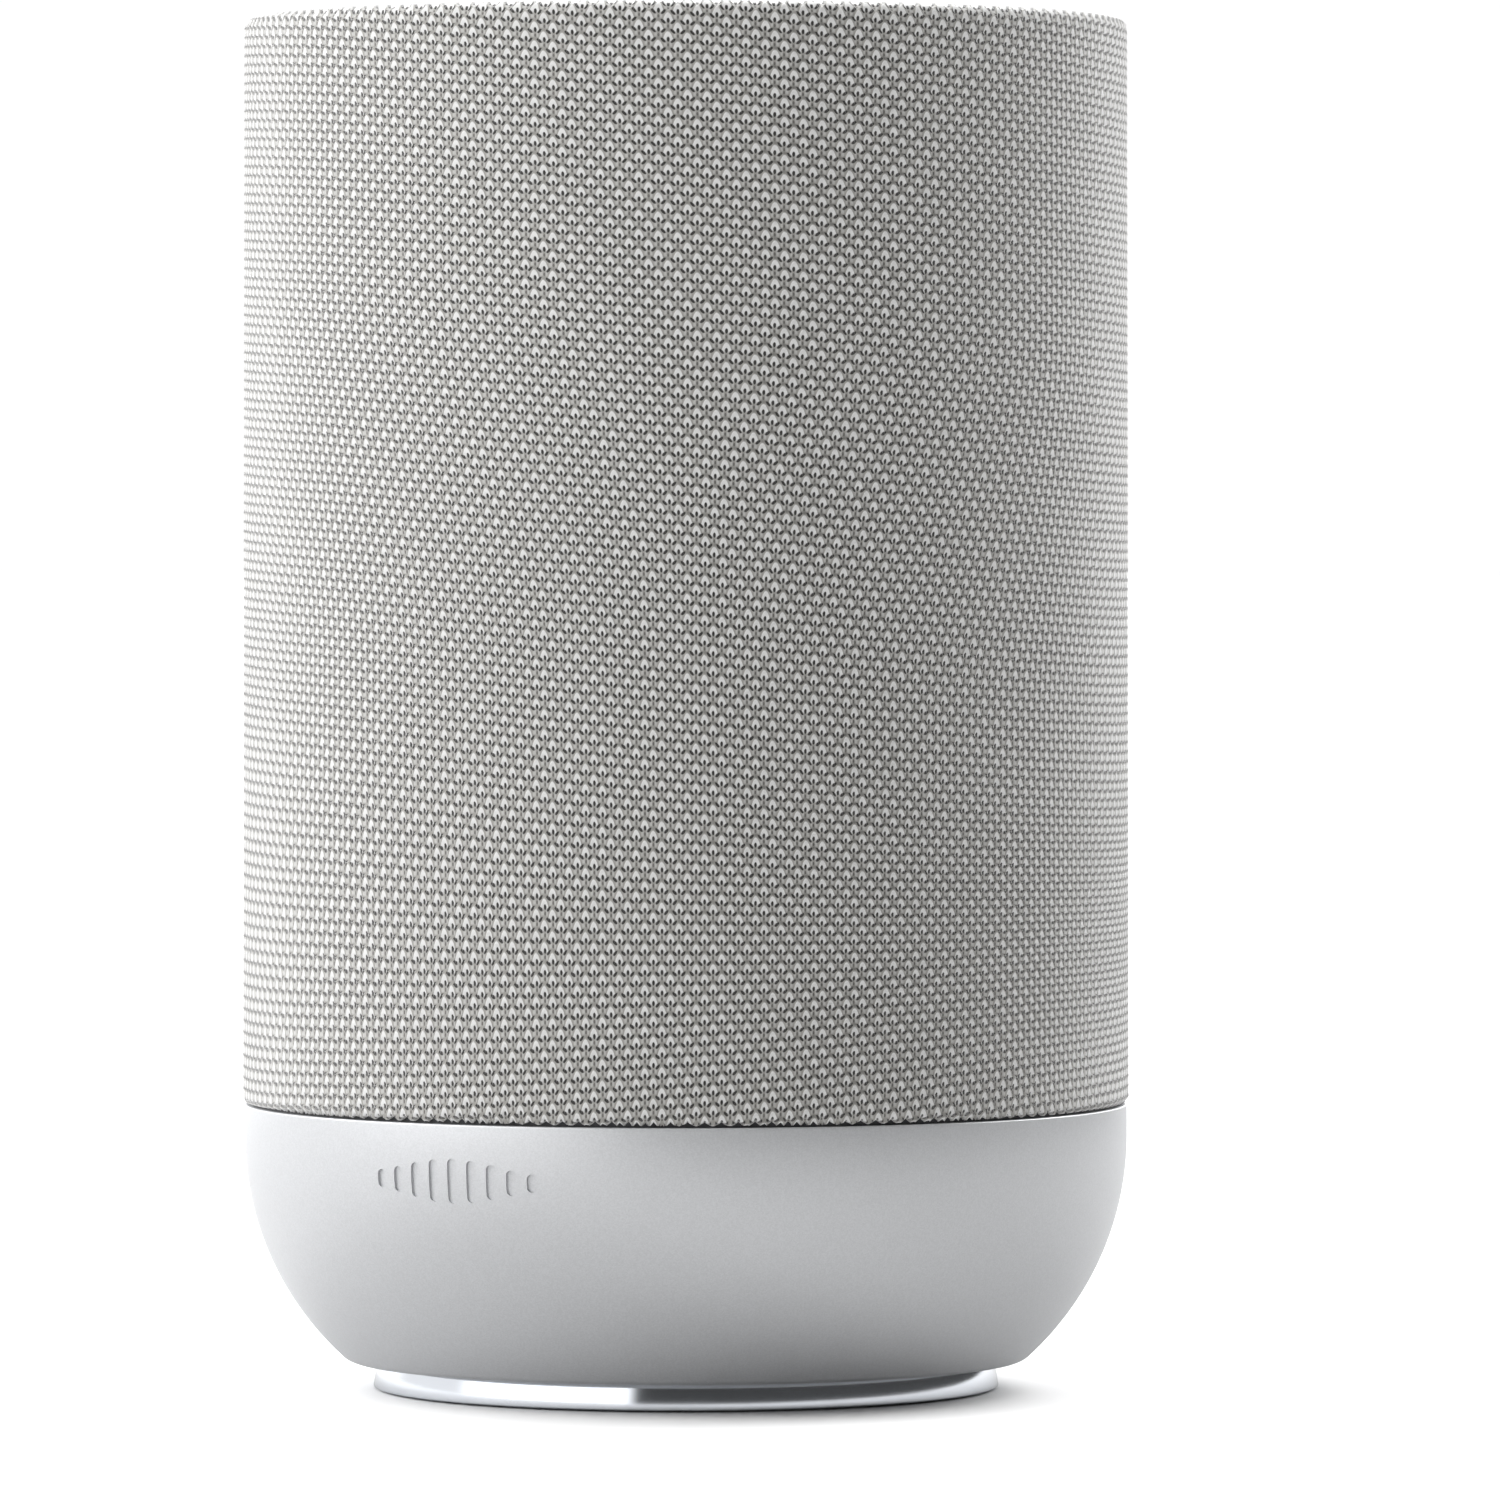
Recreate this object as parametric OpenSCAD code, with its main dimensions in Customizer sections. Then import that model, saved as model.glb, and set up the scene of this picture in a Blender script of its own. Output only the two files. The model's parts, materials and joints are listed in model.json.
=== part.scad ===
// Tabletop smart speaker. A knitted sleeve is stretched over a perforated tube, which stands on
// a metal bowl with a polished foot ring. A sealed cabinet inside carries a woofer, two tweeters
// and a rear passive radiator, and the bowl holds the electronics and the ports.
// Front is -Y, up is +Z, and the origin is at the middle of the underside. Millimetres.

/* [Body] */
// Height of the whole speaker
total_h = 216; // [214:1:220]
// Outer radius of the sleeve at its lower edge
body_r = 70; // [70:0.1:70.5]
// Outer radius of the sleeve below its rounded shoulder
shoulder_r = 69.6; // [69.4:0.1:70]
// Rounding of the sleeve's shoulder
shoulder_fillet = 3; // [2.5:0.5:3]
// Thickness of the knitted sleeve
sleeve_t = 1; // [0.8:0.1:1]

/* [Base] */
// Height of the seam between bowl and sleeve
seam_z = 45; // [44.8:0.1:45]
// Gap that shows between bowl and sleeve
seam_gap = 0.4; // [0.3:0.1:0.5]
// Radius of the bowl's curved side
bowl_arc_r = 47; // [46.9:0.1:47]
// Height of the bowl's widest line
bowl_arc_z = 40; // [39:0.5:41]
// Rounding of the bowl's lower edge
bowl_fillet = 2.8; // [2.5:0.1:3]
// Wall of the bowl
bowl_t = 2.4; // [2:0.1:2.4]
// Outer radius of the foot ring
foot_r = 49.4; // [48:0.2:50]
// Height of the foot ring
foot_h = 4.5; // [4.4:0.1:4.6]
// Depth of the level-bar mark pressed into the bowl's front
mark_depth = 0.4; // [0.3:0.1:0.6]

/* [Drivers] */
// Height of the woofer's and the radiator's axis
woofer_z = 104; // [102:1:106]
// Height of the tweeters' axes
tweeter_z = 179; // [177:1:180]
// Angle of each tweeter from the front
tweeter_angle = 35; // [30:1:38]
// Outer radius of the woofer's and the radiator's flange
flange_r = 43; // [42.5:0.1:43]

/* [Ports] */
// Width of the port bay at the rear
bay_w = 48; // [47:0.5:48]
// Lower edge of the port bay
bay_z0 = 16; // [15.5:0.5:16]
// Upper edge of the port bay
bay_z1 = 38; // [38:0.5:39]

/* [Hidden] */
$fn = 72;
eps = 0.01;
far = 200;

// Bowl and foot
bowl_r = body_r - 0.3;
bowl_arc_x = bowl_r - bowl_arc_r;
ring_inner_r = 44;
ring_lip_r = 41.5;
ring_lip_z = 3;
ring_bottom_z = 0.3;
ring_edge = 0.5;
pad_r = ring_inner_r - 0.2;
pad_hole_r = 12;
pad_t = 2;
insert_r = 4;
insert_bore_r = 2.55;
insert_h = 8;
mark_bars = 9;
mark_pitch = 3.4;
mark_bar_w = 1.7;
mark_low_h = 2.4;
mark_high_h = 6.9;
mark_z = 36.3;

// Screws: clearance holes, pilot holes, shanks and heads
hole_r = 1.6;
pilot_r = 1.45;
shank_r = 1.4;
head_r = 2.8;
head_h = 1.8;
sink_r = 3.1;
base_screw_r = 30;
base_boss_r = 4;
base_boss_z = 11.5;
chassis_screw_r = 63;
chassis_boss_r = 5;
chassis_boss_h = 22;
cabinet_screw_r = 57;
cabinet_boss_r = 4.4;
cabinet_boss_h = 12;
cabinet_screw_angles = [20, 160, 200, 340];

// Port bay: the plate's outer face and the pieces set in it
plate_y = 56;
plate_t = 1.6;
bay_clear = 0.2;
bay_wall = 1.6;
bay_mid_z = (bay_z0 + bay_z1) / 2;
upper_row_z = bay_mid_z + 4.5;
lower_row_z = bay_mid_z - 4.5;
inlet_x = -11;
inlet_pitch = 8.6;
inlet_r = 6.2;
inlet_socket_r = 4.9;
inlet_depth = 11;
pin_r = 1.2;
pin_l = 8.5;
mains_lead_r = 1;
lead_drop_y = 35;
jack_x = 6.5;
jack_r = 3.1;
jack_bore_r = 1.8;
jack_bore_l = 13;
jack_proud = 0.4;
usb_x = 16;
usb_w = 9.2;
usb_h = 3.5;
usb_wall = 0.4;
usb_depth = 6.5;
button_x = jack_x;
button_r = 2.9;
button_proud = 1.2;
switch_x = usb_x;
switch_w = 4;
switch_h = 2.8;
switch_travel = 3;
small_gap = 0.2;
port_board_y = 41;
board_t = 1.6;

// Boards in the bowl
power_z = 12;
power_r = 50;
board_edge_y = 38;
main_z = 34;
main_r = 55;
spacer_x = 38;
spacer_y = 20;
spacer_r = 3;

// Chassis and cabinet
chassis_r = 68.6;
chassis_step_r = 66.9;
chassis_step = 0.6;
chassis_h = 4;
chassis_top = seam_z + chassis_h;
floor_t = 3;
gasket_t = 0.8;
cabinet_r = 64;
cabinet_t = 3;
cabinet_z0 = chassis_top + floor_t + gasket_t;
cabinet_step_z = 152;
cabinet_z1 = 204;
baffle_y = 47;
facet_d = 58;
chamber_hole_r = 30;
cutout_r = 38.5;
lead_x = 5;
lead_y = -40;
lead_hole_r = 2;

// Drivers, measured outwards from the baffle along the driver's axis
seat = 0.8;
flange_t = 2.5;
flange_z = seat + flange_t;
driver_screw_r = 40.6;
cone_edge_r = 33;
cone_edge_z = 3;
coil_r = 12.7;
coil_bottom_z = -34;
cone_neck_z = -12;
cone_t = 0.7;
pole_r = 12;
gap_r = 13.6;
basket_floor_z = -26;
plate_r = 22;
magnet_r = 27;
magnet_z0 = -42;
yoke_z0 = -46;
spider_z = -17.6;
diaphragm_r = 29;
radiator_inner_r = 36.4;
roll_lip = 1;
glue_t = 0.05;
tweeter_plate_r = 17;
tweeter_body_r = 13;
tweeter_hole_r = 10.4;
tweeter_depth = 9;
tweeter_dome_r = 9.8;
tweeter_screw_r = 15.2;

// Grille and top
frame_r = body_r - sleeve_t - 0.1;
frame_top_r = shoulder_r - sleeve_t - 0.1;
frame_t = 1.8;
frame_inner_r = frame_top_r - frame_t;
frame_z0 = seam_z + chassis_step;
frame_top = total_h - sleeve_t - 0.1;
collar_r = 64.6;
shelf_z = 207;
shelf_r = 54;
touch_z = 210.4;
touch_r = 58.8;
panel_z = touch_z + board_t;
panel_top = total_h - 0.8;
light_r = 59.4;
ring_r = 62;
window_rows = 5;
window_columns = 24;
window_w = 12;
window_h = 24;
window_pitch = 31;
window_z0 = 66;
mic_r = 50;
mic_hole_r = 0.6;
icon_t = 0.3;
icon_w = 2;
icon_l = 11;
icon_d = 34;
preset_r = 1.5;

sleeve_grey = "#dcd9d4";
metal_blue_grey = "#a9adb6";
dark_plastic = "#2b2c2f";
board_green = "#1f5b3a";
steel = "#c4c6c9";

// Points along an arc round [cx, cz], from angle a0 to a1
function arc(cx, cz, r, a0, a1, n = 12) =
    [for (i = [0:n]) let (a = a0 + (a1 - a0) * i / n) [cx + r * cos(a), cz + r * sin(a)]];

// The bowl's side, moved inwards by t, from the middle of its underside up to its widest line
function bowl_curve(t) =
    let (r = bowl_arc_r - t, f = max(bowl_fillet - t, 0.3), z0 = foot_h + t)
    let (a = asin((bowl_arc_z - z0 - f) / (r - f)))
    concat(
        [[0, z0]],
        arc(bowl_arc_x + (r - f) * cos(a), z0 + f, f, -90, -a, 5),
        arc(bowl_arc_x, bowl_arc_z, r, -a, 0, 24)
    );

module bowl_solid(t, top) {
    rotate_extrude()
        polygon(concat(bowl_curve(t), [[bowl_arc_x + bowl_arc_r - t, top], [0, top]]));
}

module ring(r_in, r_out, z0, z1) {
    translate([0, 0, z0]) difference() {
        cylinder(r = r_out, h = z1 - z0);
        translate([0, 0, -1]) cylinder(r = r_in, h = z1 - z0 + 2);
    }
}

module polar(r, angles) {
    for (a = angles) rotate([0, 0, a]) translate([r, 0, 0]) children();
}

// A box given by its lowest and highest corners
module block(low, high) {
    translate(low) cube(high - low);
}

// A flat oval of total width w and height h, in the XY plane
module oval(w, h) {
    square([w - h, h], center = true);
    for (s = [-1, 1]) translate([s * (w - h) / 2, 0]) circle(r = h / 2);
}

// A pan-head screw whose head rests on z = 0 and whose shank goes down
module screw(l) {
    cylinder(r = head_r, h = head_h);
    translate([0, 0, -l]) cylinder(r = shank_r, h = l + eps);
}

// Local frames: +Z points out of the opening that each piece is seen through
module at_woofer() {
    translate([0, -baffle_y, woofer_z]) rotate([90, 0, 0]) children();
}

module at_radiator() {
    translate([0, baffle_y, woofer_z]) rotate([-90, 0, 0]) children();
}

module at_tweeter(side) {
    rotate([0, 0, side * tweeter_angle]) translate([0, -facet_d, tweeter_z])
        rotate([90, 0, 0]) children();
}

module at_port(x, z, y = plate_y) {
    translate([x, y, z]) rotate([-90, 0, 0]) children();
}

// ---- Foot and bowl

module foot_pad() {
    color("#202123") ring(pad_hole_r, pad_r, 0, pad_t);
}

module foot_ring() {
    color("#e3e4e6") rotate_extrude() polygon([
        [ring_inner_r, ring_bottom_z], [foot_r - ring_edge, ring_bottom_z],
        [foot_r, ring_bottom_z + ring_edge], [foot_r, foot_h], [ring_lip_r, foot_h],
        [ring_lip_r, ring_lip_z], [ring_inner_r, ring_lip_z]
    ]);
}

module bottom_plate() {
    color(dark_plastic) difference() {
        union() {
            translate([0, 0, pad_t]) cylinder(r = pad_r, h = ring_lip_z - pad_t);
            translate([0, 0, ring_lip_z - eps])
                cylinder(r = ring_lip_r - 0.1, h = foot_h - ring_lip_z + eps);
        }
        translate([0, 0, -1]) cylinder(r = insert_r, h = 10);
        polar(base_screw_r, [0:90:270]) {
            cylinder(r = hole_r, h = 10);
            translate([0, 0, -1]) cylinder(r = sink_r, h = pad_t + 1 + 0.9);
        }
    }
}

module threaded_insert() {
    color("#b9923f") ring(insert_bore_r, insert_r, pad_t, pad_t + insert_h);
}

module base_screws() {
    color(steel) polar(base_screw_r, [0:90:270])
        translate([0, 0, pad_t + 0.9]) mirror([0, 0, 1]) {
            translate([0, 0, 0]) cylinder(r = head_r, h = 0.85);
            translate([0, 0, -8]) cylinder(r = shank_r, h = 8 + eps);
        }
}

module mark_bar(h) {
    rotate([90, 0, 0]) linear_extrude(far) rotate([0, 0, 90]) oval(h, mark_bar_w);
}

// A row of rounded level bars, tall in the middle and low at the ends
module level_mark() {
    half = (mark_bars - 1) / 2;
    difference() {
        for (i = [-half:half])
            translate([i * mark_pitch, 0, mark_z])
                mark_bar(mark_low_h + (mark_high_h - mark_low_h) * pow(cos(90 * i / (half + 1)), 2));
        bowl_solid(mark_depth, seam_z + 1);
    }
}

module base_shell() {
    color(metal_blue_grey) difference() {
        union() {
            difference() {
                bowl_solid(0, seam_z);
                bowl_solid(bowl_t, seam_z + 1);
            }
            polar(base_screw_r, [0:90:270])
                translate([0, 0, foot_h + eps]) cylinder(r = base_boss_r, h = base_boss_z - foot_h);
            for (x = [-spacer_x, spacer_x], y = [-spacer_y, spacer_y])
                translate([x, y, foot_h + eps]) cylinder(r = base_boss_r, h = power_z - foot_h - eps);
            intersection() {
                bowl_solid(bowl_t / 2, seam_z);
                polar(chassis_screw_r, [45:90:315]) translate([0, 0, seam_z - chassis_boss_h])
                    cylinder(r = chassis_boss_r, h = chassis_boss_h);
            }
        }
        cylinder(r = insert_r + 0.1, h = foot_h + bowl_t + 5);
        polar(base_screw_r, [0:90:270]) cylinder(r = pilot_r, h = base_boss_z + 1);
        for (x = [-spacer_x, spacer_x], y = [-spacer_y, spacer_y])
            translate([x, y, foot_h + bowl_t]) cylinder(r = pilot_r, h = power_z);
        polar(chassis_screw_r, [45:90:315]) translate([0, 0, seam_z - 12]) cylinder(r = pilot_r, h = 20);
        block([-bay_w / 2, plate_y - 8, bay_z0], [bay_w / 2, far, bay_z1]);
        level_mark();
    }
}

// ---- Port bay

module port_panel() {
    w = bay_w / 2 - bay_clear;
    z0 = bay_z0 + bay_clear;
    z1 = bay_z1 - bay_clear;
    color(dark_plastic) difference() {
        intersection() {
            bowl_solid(0.3, seam_z);
            difference() {
                block([-w, plate_y - plate_t, z0], [w, far, z1]);
                block([bay_wall - w, plate_y, z0 + bay_wall], [w - bay_wall, far + 1, z1 - bay_wall]);
            }
        }
        at_port(inlet_x, bay_mid_z, plate_y - 5)
            linear_extrude(10) oval(inlet_pitch + 2 * inlet_r + 0.2, 2 * inlet_r + 0.2);
        at_port(usb_x, upper_row_z, plate_y - 5) linear_extrude(10) oval(usb_w + 0.4, usb_h + 0.4);
        at_port(jack_x, upper_row_z, plate_y - 5) cylinder(r = jack_r + 0.1, h = 10);
        at_port(button_x, lower_row_z, plate_y - 5) cylinder(r = button_r + small_gap, h = 10);
        block(
            [switch_x - (switch_w + switch_travel) / 2 - small_gap, plate_y - 5,
                lower_row_z - switch_h / 2 - small_gap],
            [switch_x + (switch_w + switch_travel) / 2 + small_gap, plate_y + 5,
                lower_row_z + switch_h / 2 + small_gap]
        );
    }
}

module port_board() {
    color(board_green) union() {
        block([1, port_board_y, bay_z0], [23, port_board_y + board_t, bay_z1]);
        at_port(button_x, lower_row_z, port_board_y + board_t - eps) cylinder(r = 2.4, h = 9);
        block([switch_x - 5, port_board_y + board_t - eps, lower_row_z - 2.5],
            [switch_x + 5, plate_y - plate_t - 2.4, lower_row_z + 2.5]);
    }
}

module mains_inlet() {
    color("#17181a") at_port(inlet_x, bay_mid_z, port_board_y) difference() {
        union() {
            linear_extrude(plate_y - port_board_y) oval(inlet_pitch + 2 * inlet_r, 2 * inlet_r);
            linear_extrude(plate_y - port_board_y - plate_t - 0.1)
                square([inlet_pitch + 2 * inlet_r, 2 * inlet_r + 3], center = true);
        }
        translate([0, 0, plate_y - port_board_y - inlet_depth])
            for (s = [-1, 1]) translate([s * inlet_pitch / 2, 0, 0])
                cylinder(r = inlet_socket_r, h = inlet_depth + 1);
        translate([0, 0, plate_y - port_board_y - inlet_depth])
            linear_extrude(inlet_depth + 1) square([inlet_pitch, 1.5 * inlet_socket_r], center = true);
        for (s = [-1, 1]) translate([s * inlet_pitch / 2, 0, -1]) cylinder(r = pin_r, h = 6);
    }
}

module inlet_pins() {
    color(steel) at_port(inlet_x, bay_mid_z, plate_y - inlet_depth - 4)
        for (s = [-1, 1]) translate([s * inlet_pitch / 2, 0, 0]) {
            cylinder(r = pin_r, h = 4 + pin_l - pin_r);
            translate([0, 0, 4 + pin_l - pin_r]) sphere(r = pin_r);
        }
}

module mains_leads() {
    l = port_board_y - lead_drop_y;
    color("#7a4a2c") for (s = [-1, 1]) translate([inlet_x + s * inlet_pitch / 2, lead_drop_y, 0]) {
        translate([0, 0, bay_mid_z]) rotate([-90, 0, 0]) cylinder(r = mains_lead_r, h = l);
        translate([0, 0, power_z + board_t]) cylinder(r = mains_lead_r, h = bay_mid_z - power_z - board_t);
    }
}

module usb_socket() {
    color(steel) at_port(usb_x, upper_row_z, port_board_y + board_t) {
        l = plate_y - port_board_y - board_t;
        difference() {
            linear_extrude(l) oval(usb_w, usb_h);
            translate([0, 0, l - usb_depth])
                linear_extrude(usb_depth + 1) oval(usb_w - 2 * usb_wall, usb_h - 2 * usb_wall);
        }
        translate([0, 0, l - usb_depth - eps])
            linear_extrude(usb_depth - 1) square([6.6, 0.7], center = true);
    }
}

module aux_jack() {
    l = plate_y - port_board_y - board_t;
    color("#1b1c1e") at_port(jack_x, upper_row_z, port_board_y + board_t) difference() {
        union() {
            linear_extrude(l - plate_t - 0.1) square([8, 8], center = true);
            cylinder(r = jack_r, h = l + jack_proud);
        }
        translate([0, 0, l + jack_proud - jack_bore_l]) cylinder(r = jack_bore_r, h = jack_bore_l + 1);
    }
}

module pairing_button() {
    color("#3b3d41") at_port(button_x, lower_row_z, plate_y - plate_t - small_gap) {
        cylinder(r = button_r, h = plate_t + small_gap + button_proud);
        translate([0, 0, -1.1]) cylinder(r = button_r + 1, h = 1.1 + eps);
    }
}

module mic_switch() {
    x0 = switch_x - switch_travel / 2;
    color("#3b3d41") {
        block([x0 - switch_w / 2, plate_y - plate_t - small_gap - eps, lower_row_z - switch_h / 2],
            [x0 + switch_w / 2, plate_y + 0.6, lower_row_z + switch_h / 2]);
        block([x0 - switch_w / 2 - 1.5, plate_y - plate_t - small_gap - 1.6, lower_row_z - 2.4],
            [x0 + switch_w / 2 + 1.5, plate_y - plate_t - small_gap, lower_row_z + 2.4]);
    }
}

// ---- Electronics

module board(r, z) {
    intersection() {
        translate([0, 0, z]) cylinder(r = r, h = board_t);
        block([-far, -far, z - 1], [far, board_edge_y, z + board_t + 1]);
    }
}

module at_spacers() {
    for (x = [-spacer_x, spacer_x], y = [-spacer_y, spacer_y]) translate([x, y, 0]) children();
}

module power_board() {
    top = power_z + board_t - eps;
    color("#8a6b2f") difference() {
        union() {
            board(power_r, power_z);
            block([-14, -22, top], [12, 2, top + 16]);
            for (x = [-20, 22]) translate([x, -28, top]) cylinder(r = 6, h = 16);
            for (x = [18, 26]) translate([x, 10, top]) cylinder(r = 3.5, h = 11);
        }
        at_spacers() translate([0, 0, power_z - 1]) cylinder(r = hole_r, h = 4);
    }
}

module board_spacers() {
    color("#b9923f") at_spacers() {
        difference() {
            translate([0, 0, power_z + board_t])
                cylinder(r = spacer_r, h = main_z - power_z - board_t, $fn = 6);
            translate([0, 0, main_z - 8]) cylinder(r = pilot_r, h = 10);
        }
        translate([0, 0, power_z - 4.5]) cylinder(r = shank_r, h = board_t + 4.6);
    }
}

module main_board() {
    top = main_z + board_t - eps;
    color(board_green) difference() {
        union() {
            board(main_r, main_z);
            block([-34, -14, top], [-24, -4, top + 1.2]);
            block([22, -16, top], [34, -6, top + 1.2]);
            block([44, -5.5, top], [50.6, 5.5, top + 2.4]);
            block([-8, -44, top], [8, -36, top + 3]);
        }
        at_spacers() translate([0, 0, main_z - 1]) cylinder(r = hole_r, h = 4);
        block([49.6, -5.2, top + 1], [50.4, 5.2, top + 3]);
        for (s = [-1, 1]) translate([s * lead_x, lead_y, top + 1]) cylinder(r = 1.05, h = 4);
    }
}

module board_screws() {
    color(steel) at_spacers() translate([0, 0, main_z + board_t]) screw(7);
}

module heat_sink() {
    z0 = main_z + board_t;
    color("#9a9da1") {
        block([-15, -15, z0], [15, 15, z0 + 2]);
        for (x = [-14:4:14]) block([x - 0.6, -15, z0 + 2 - eps], [x + 0.6, 15, z0 + 7]);
    }
}

module radio_module() {
    color(steel) block([-12, 20, main_z + board_t], [12, 34, main_z + board_t + 2.6]);
}

module antennas() {
    color("#c9a24a") polar(57, [150, 270, 30])
        block([-0.4, -7, 22], [0.4, 7, 41]);
}

module ribbon_cable() {
    t = 0.4;
    w = 5;
    color("#d9dadc") {
        block([49.8, -w, main_z + board_t + 1.2], [49.8 + t, w, seam_z - 0.8]);
        block([49.8, -w, seam_z - 0.8 - t], [65.2 + t, w, seam_z - 0.8]);
        block([65.2, -w, seam_z - 0.8 - t], [65.2 + t, w, shelf_z - 1]);
        block([49.8, -w, shelf_z - 1 - t], [65.2 + t, w, shelf_z - 1]);
        block([49.8, -w, shelf_z - 1 - t], [49.8 + t, w, touch_z]);
    }
}

module speaker_leads() {
    color("#8f2f2a") {
        for (s = [-1, 1])
            translate([s * lead_x, lead_y, main_z + board_t + 1.2]) cylinder(r = 1, h = 28);
        block([-lead_x - 2, lead_y - 2, 63.5], [lead_x + 2, lead_y + 2, 65.8]);
    }
}

// ---- Chassis and cabinet

module chassis() {
    color(dark_plastic) difference() {
        union() {
            translate([0, 0, seam_z]) cylinder(r = chassis_r, h = chassis_step);
            translate([0, 0, seam_z]) cylinder(r = chassis_step_r, h = chassis_h);
        }
        polar(chassis_screw_r, [45:90:315]) {
            translate([0, 0, seam_z - 1]) cylinder(r = hole_r, h = 10);
            translate([0, 0, chassis_top - 2.2]) cylinder(r = sink_r, h = 10);
        }
        polar(cabinet_screw_r, cabinet_screw_angles)
            translate([0, 0, seam_z - 1]) cylinder(r = hole_r, h = 10);
        block([64, -6, seam_z - 1], [66, 6, chassis_top + 1]);
        for (s = [-1, 1]) translate([s * lead_x, lead_y, seam_z - 1]) cylinder(r = lead_hole_r, h = 10);
    }
}

module chassis_screws() {
    color(steel) polar(chassis_screw_r, [45:90:315]) translate([0, 0, chassis_top - 2.2]) screw(10);
}

module cabinet_floor() {
    color("#3a3b3e") difference() {
        intersection() {
            translate([0, 0, chassis_top]) cylinder(r = cabinet_r, h = floor_t);
            block([-far, -baffle_y, 0], [far, baffle_y, far]);
        }
        polar(cabinet_screw_r, cabinet_screw_angles)
            translate([0, 0, chassis_top - 1]) cylinder(r = hole_r, h = 10);
        for (s = [-1, 1])
            translate([s * lead_x, lead_y, chassis_top - 1]) cylinder(r = lead_hole_r, h = 10);
    }
}

// The cabinet's lower section, moved inwards by t, from z0 to z1
module lower_section(t, z0, z1) {
    intersection() {
        translate([0, 0, z0]) cylinder(r = cabinet_r - t, h = z1 - z0);
        block([-far, t - baffle_y, z0 - 1], [far, baffle_y - t, z1 + 1]);
    }
}

// The cabinet's upper section, with a flat facet for each tweeter
module upper_section(t, z0, z1) {
    difference() {
        translate([0, 0, z0]) cylinder(r = cabinet_r - t, h = z1 - z0);
        for (side = [-1, 1]) rotate([0, 0, side * tweeter_angle])
            block([-far / 2, -far, z0 - 1], [far / 2, t - facet_d, z1 + 1]);
    }
}

module cabinet_gasket() {
    color("#101113") difference() {
        lower_section(0.5, cabinet_z0 - gasket_t, cabinet_z0);
        lower_section(cabinet_t - 0.5, cabinet_z0 - gasket_t - 1, cabinet_z0 + 1);
    }
}

module cabinet() {
    color("#3a3b3e") difference() {
        union() {
            difference() {
                union() {
                    lower_section(0, cabinet_z0, cabinet_step_z);
                    upper_section(0, cabinet_step_z - eps, cabinet_z1);
                }
                lower_section(cabinet_t, cabinet_z0 - 1, cabinet_step_z - cabinet_t);
                upper_section(cabinet_t, cabinet_step_z + cabinet_t, cabinet_z1 - cabinet_t);
                translate([0, 0, cabinet_step_z - 5]) cylinder(r = chamber_hole_r, h = 10);
            }
            intersection() {
                lower_section(1, cabinet_z0, cabinet_z0 + 20);
                polar(cabinet_screw_r, cabinet_screw_angles)
                    translate([0, 0, cabinet_z0]) cylinder(r = cabinet_boss_r, h = cabinet_boss_h);
            }
        }
        polar(cabinet_screw_r, cabinet_screw_angles)
            translate([0, 0, cabinet_z0 - 1]) cylinder(r = pilot_r, h = cabinet_boss_h);
        at_woofer() translate([0, 0, -10]) cylinder(r = cutout_r, h = 20);
        at_radiator() translate([0, 0, -10]) cylinder(r = cutout_r, h = 20);
        at_woofer() polar(driver_screw_r, [45:90:315]) translate([0, 0, -10]) cylinder(r = pilot_r, h = 20);
        at_radiator() polar(driver_screw_r, [45:90:315]) translate([0, 0, -10]) cylinder(r = pilot_r, h = 20);
        for (side = [-1, 1]) at_tweeter(side) {
            translate([0, 0, -10]) cylinder(r = tweeter_body_r + 0.2, h = 20);
            polar(tweeter_screw_r, [0, 180]) translate([0, 0, -10]) cylinder(r = pilot_r / 2, h = 20);
        }
    }
}

module cabinet_screws() {
    color(steel) polar(cabinet_screw_r, cabinet_screw_angles)
        translate([0, 0, seam_z]) mirror([0, 0, 1]) screw(16);
}

// ---- Woofer

module driver_gasket() {
    difference() {
        ring(cutout_r + 0.3, flange_r - 0.3, 0, seat);
        polar(driver_screw_r, [45:90:315]) translate([0, 0, -1]) cylinder(r = hole_r, h = 4);
    }
}

module driver_holes() {
    polar(driver_screw_r, [45:90:315]) translate([0, 0, -1]) cylinder(r = hole_r, h = 10);
}

module woofer_gasket() {
    color("#101113") at_woofer() driver_gasket();
}

module woofer_basket() {
    color("#26272a") at_woofer() difference() {
        rotate_extrude() polygon([
            [flange_r, flange_z], [flange_r, seat], [cutout_r - 0.5, seat], [37.4, -2], [28, -22],
            [28, basket_floor_z], [14.4, basket_floor_z], [14.4, basket_floor_z + 1.6],
            [26.4, basket_floor_z + 1.6], [26.4, -21.6], [36, -1.6], [36, flange_z]
        ]);
        driver_holes();
        for (a = [0:60:300]) rotate([0, 0, a]) block([18, -9, -15], [40, 9, -5]);
    }
}

module woofer_front_plate() {
    color(steel) at_woofer() ring(gap_r, plate_r, basket_floor_z - 4, basket_floor_z);
}

module woofer_magnet() {
    color("#4a4b4e") at_woofer() ring(gap_r + 1.5, magnet_r, magnet_z0, basket_floor_z - 4);
}

module woofer_yoke() {
    color(steel) at_woofer() difference() {
        union() {
            translate([0, 0, yoke_z0]) cylinder(r = 24, h = magnet_z0 - yoke_z0);
            translate([0, 0, magnet_z0 - eps]) cylinder(r = pole_r, h = basket_floor_z - magnet_z0);
        }
        translate([0, 0, yoke_z0 - 1]) cylinder(r = 4, h = 30);
    }
}

module voice_coil() {
    color("#b56a32") at_woofer() {
        ring(coil_r - 0.3, coil_r, coil_bottom_z, cone_neck_z);
        ring(coil_r - eps, coil_r + 0.4, coil_bottom_z + 1, coil_bottom_z + 9);
    }
}

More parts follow.
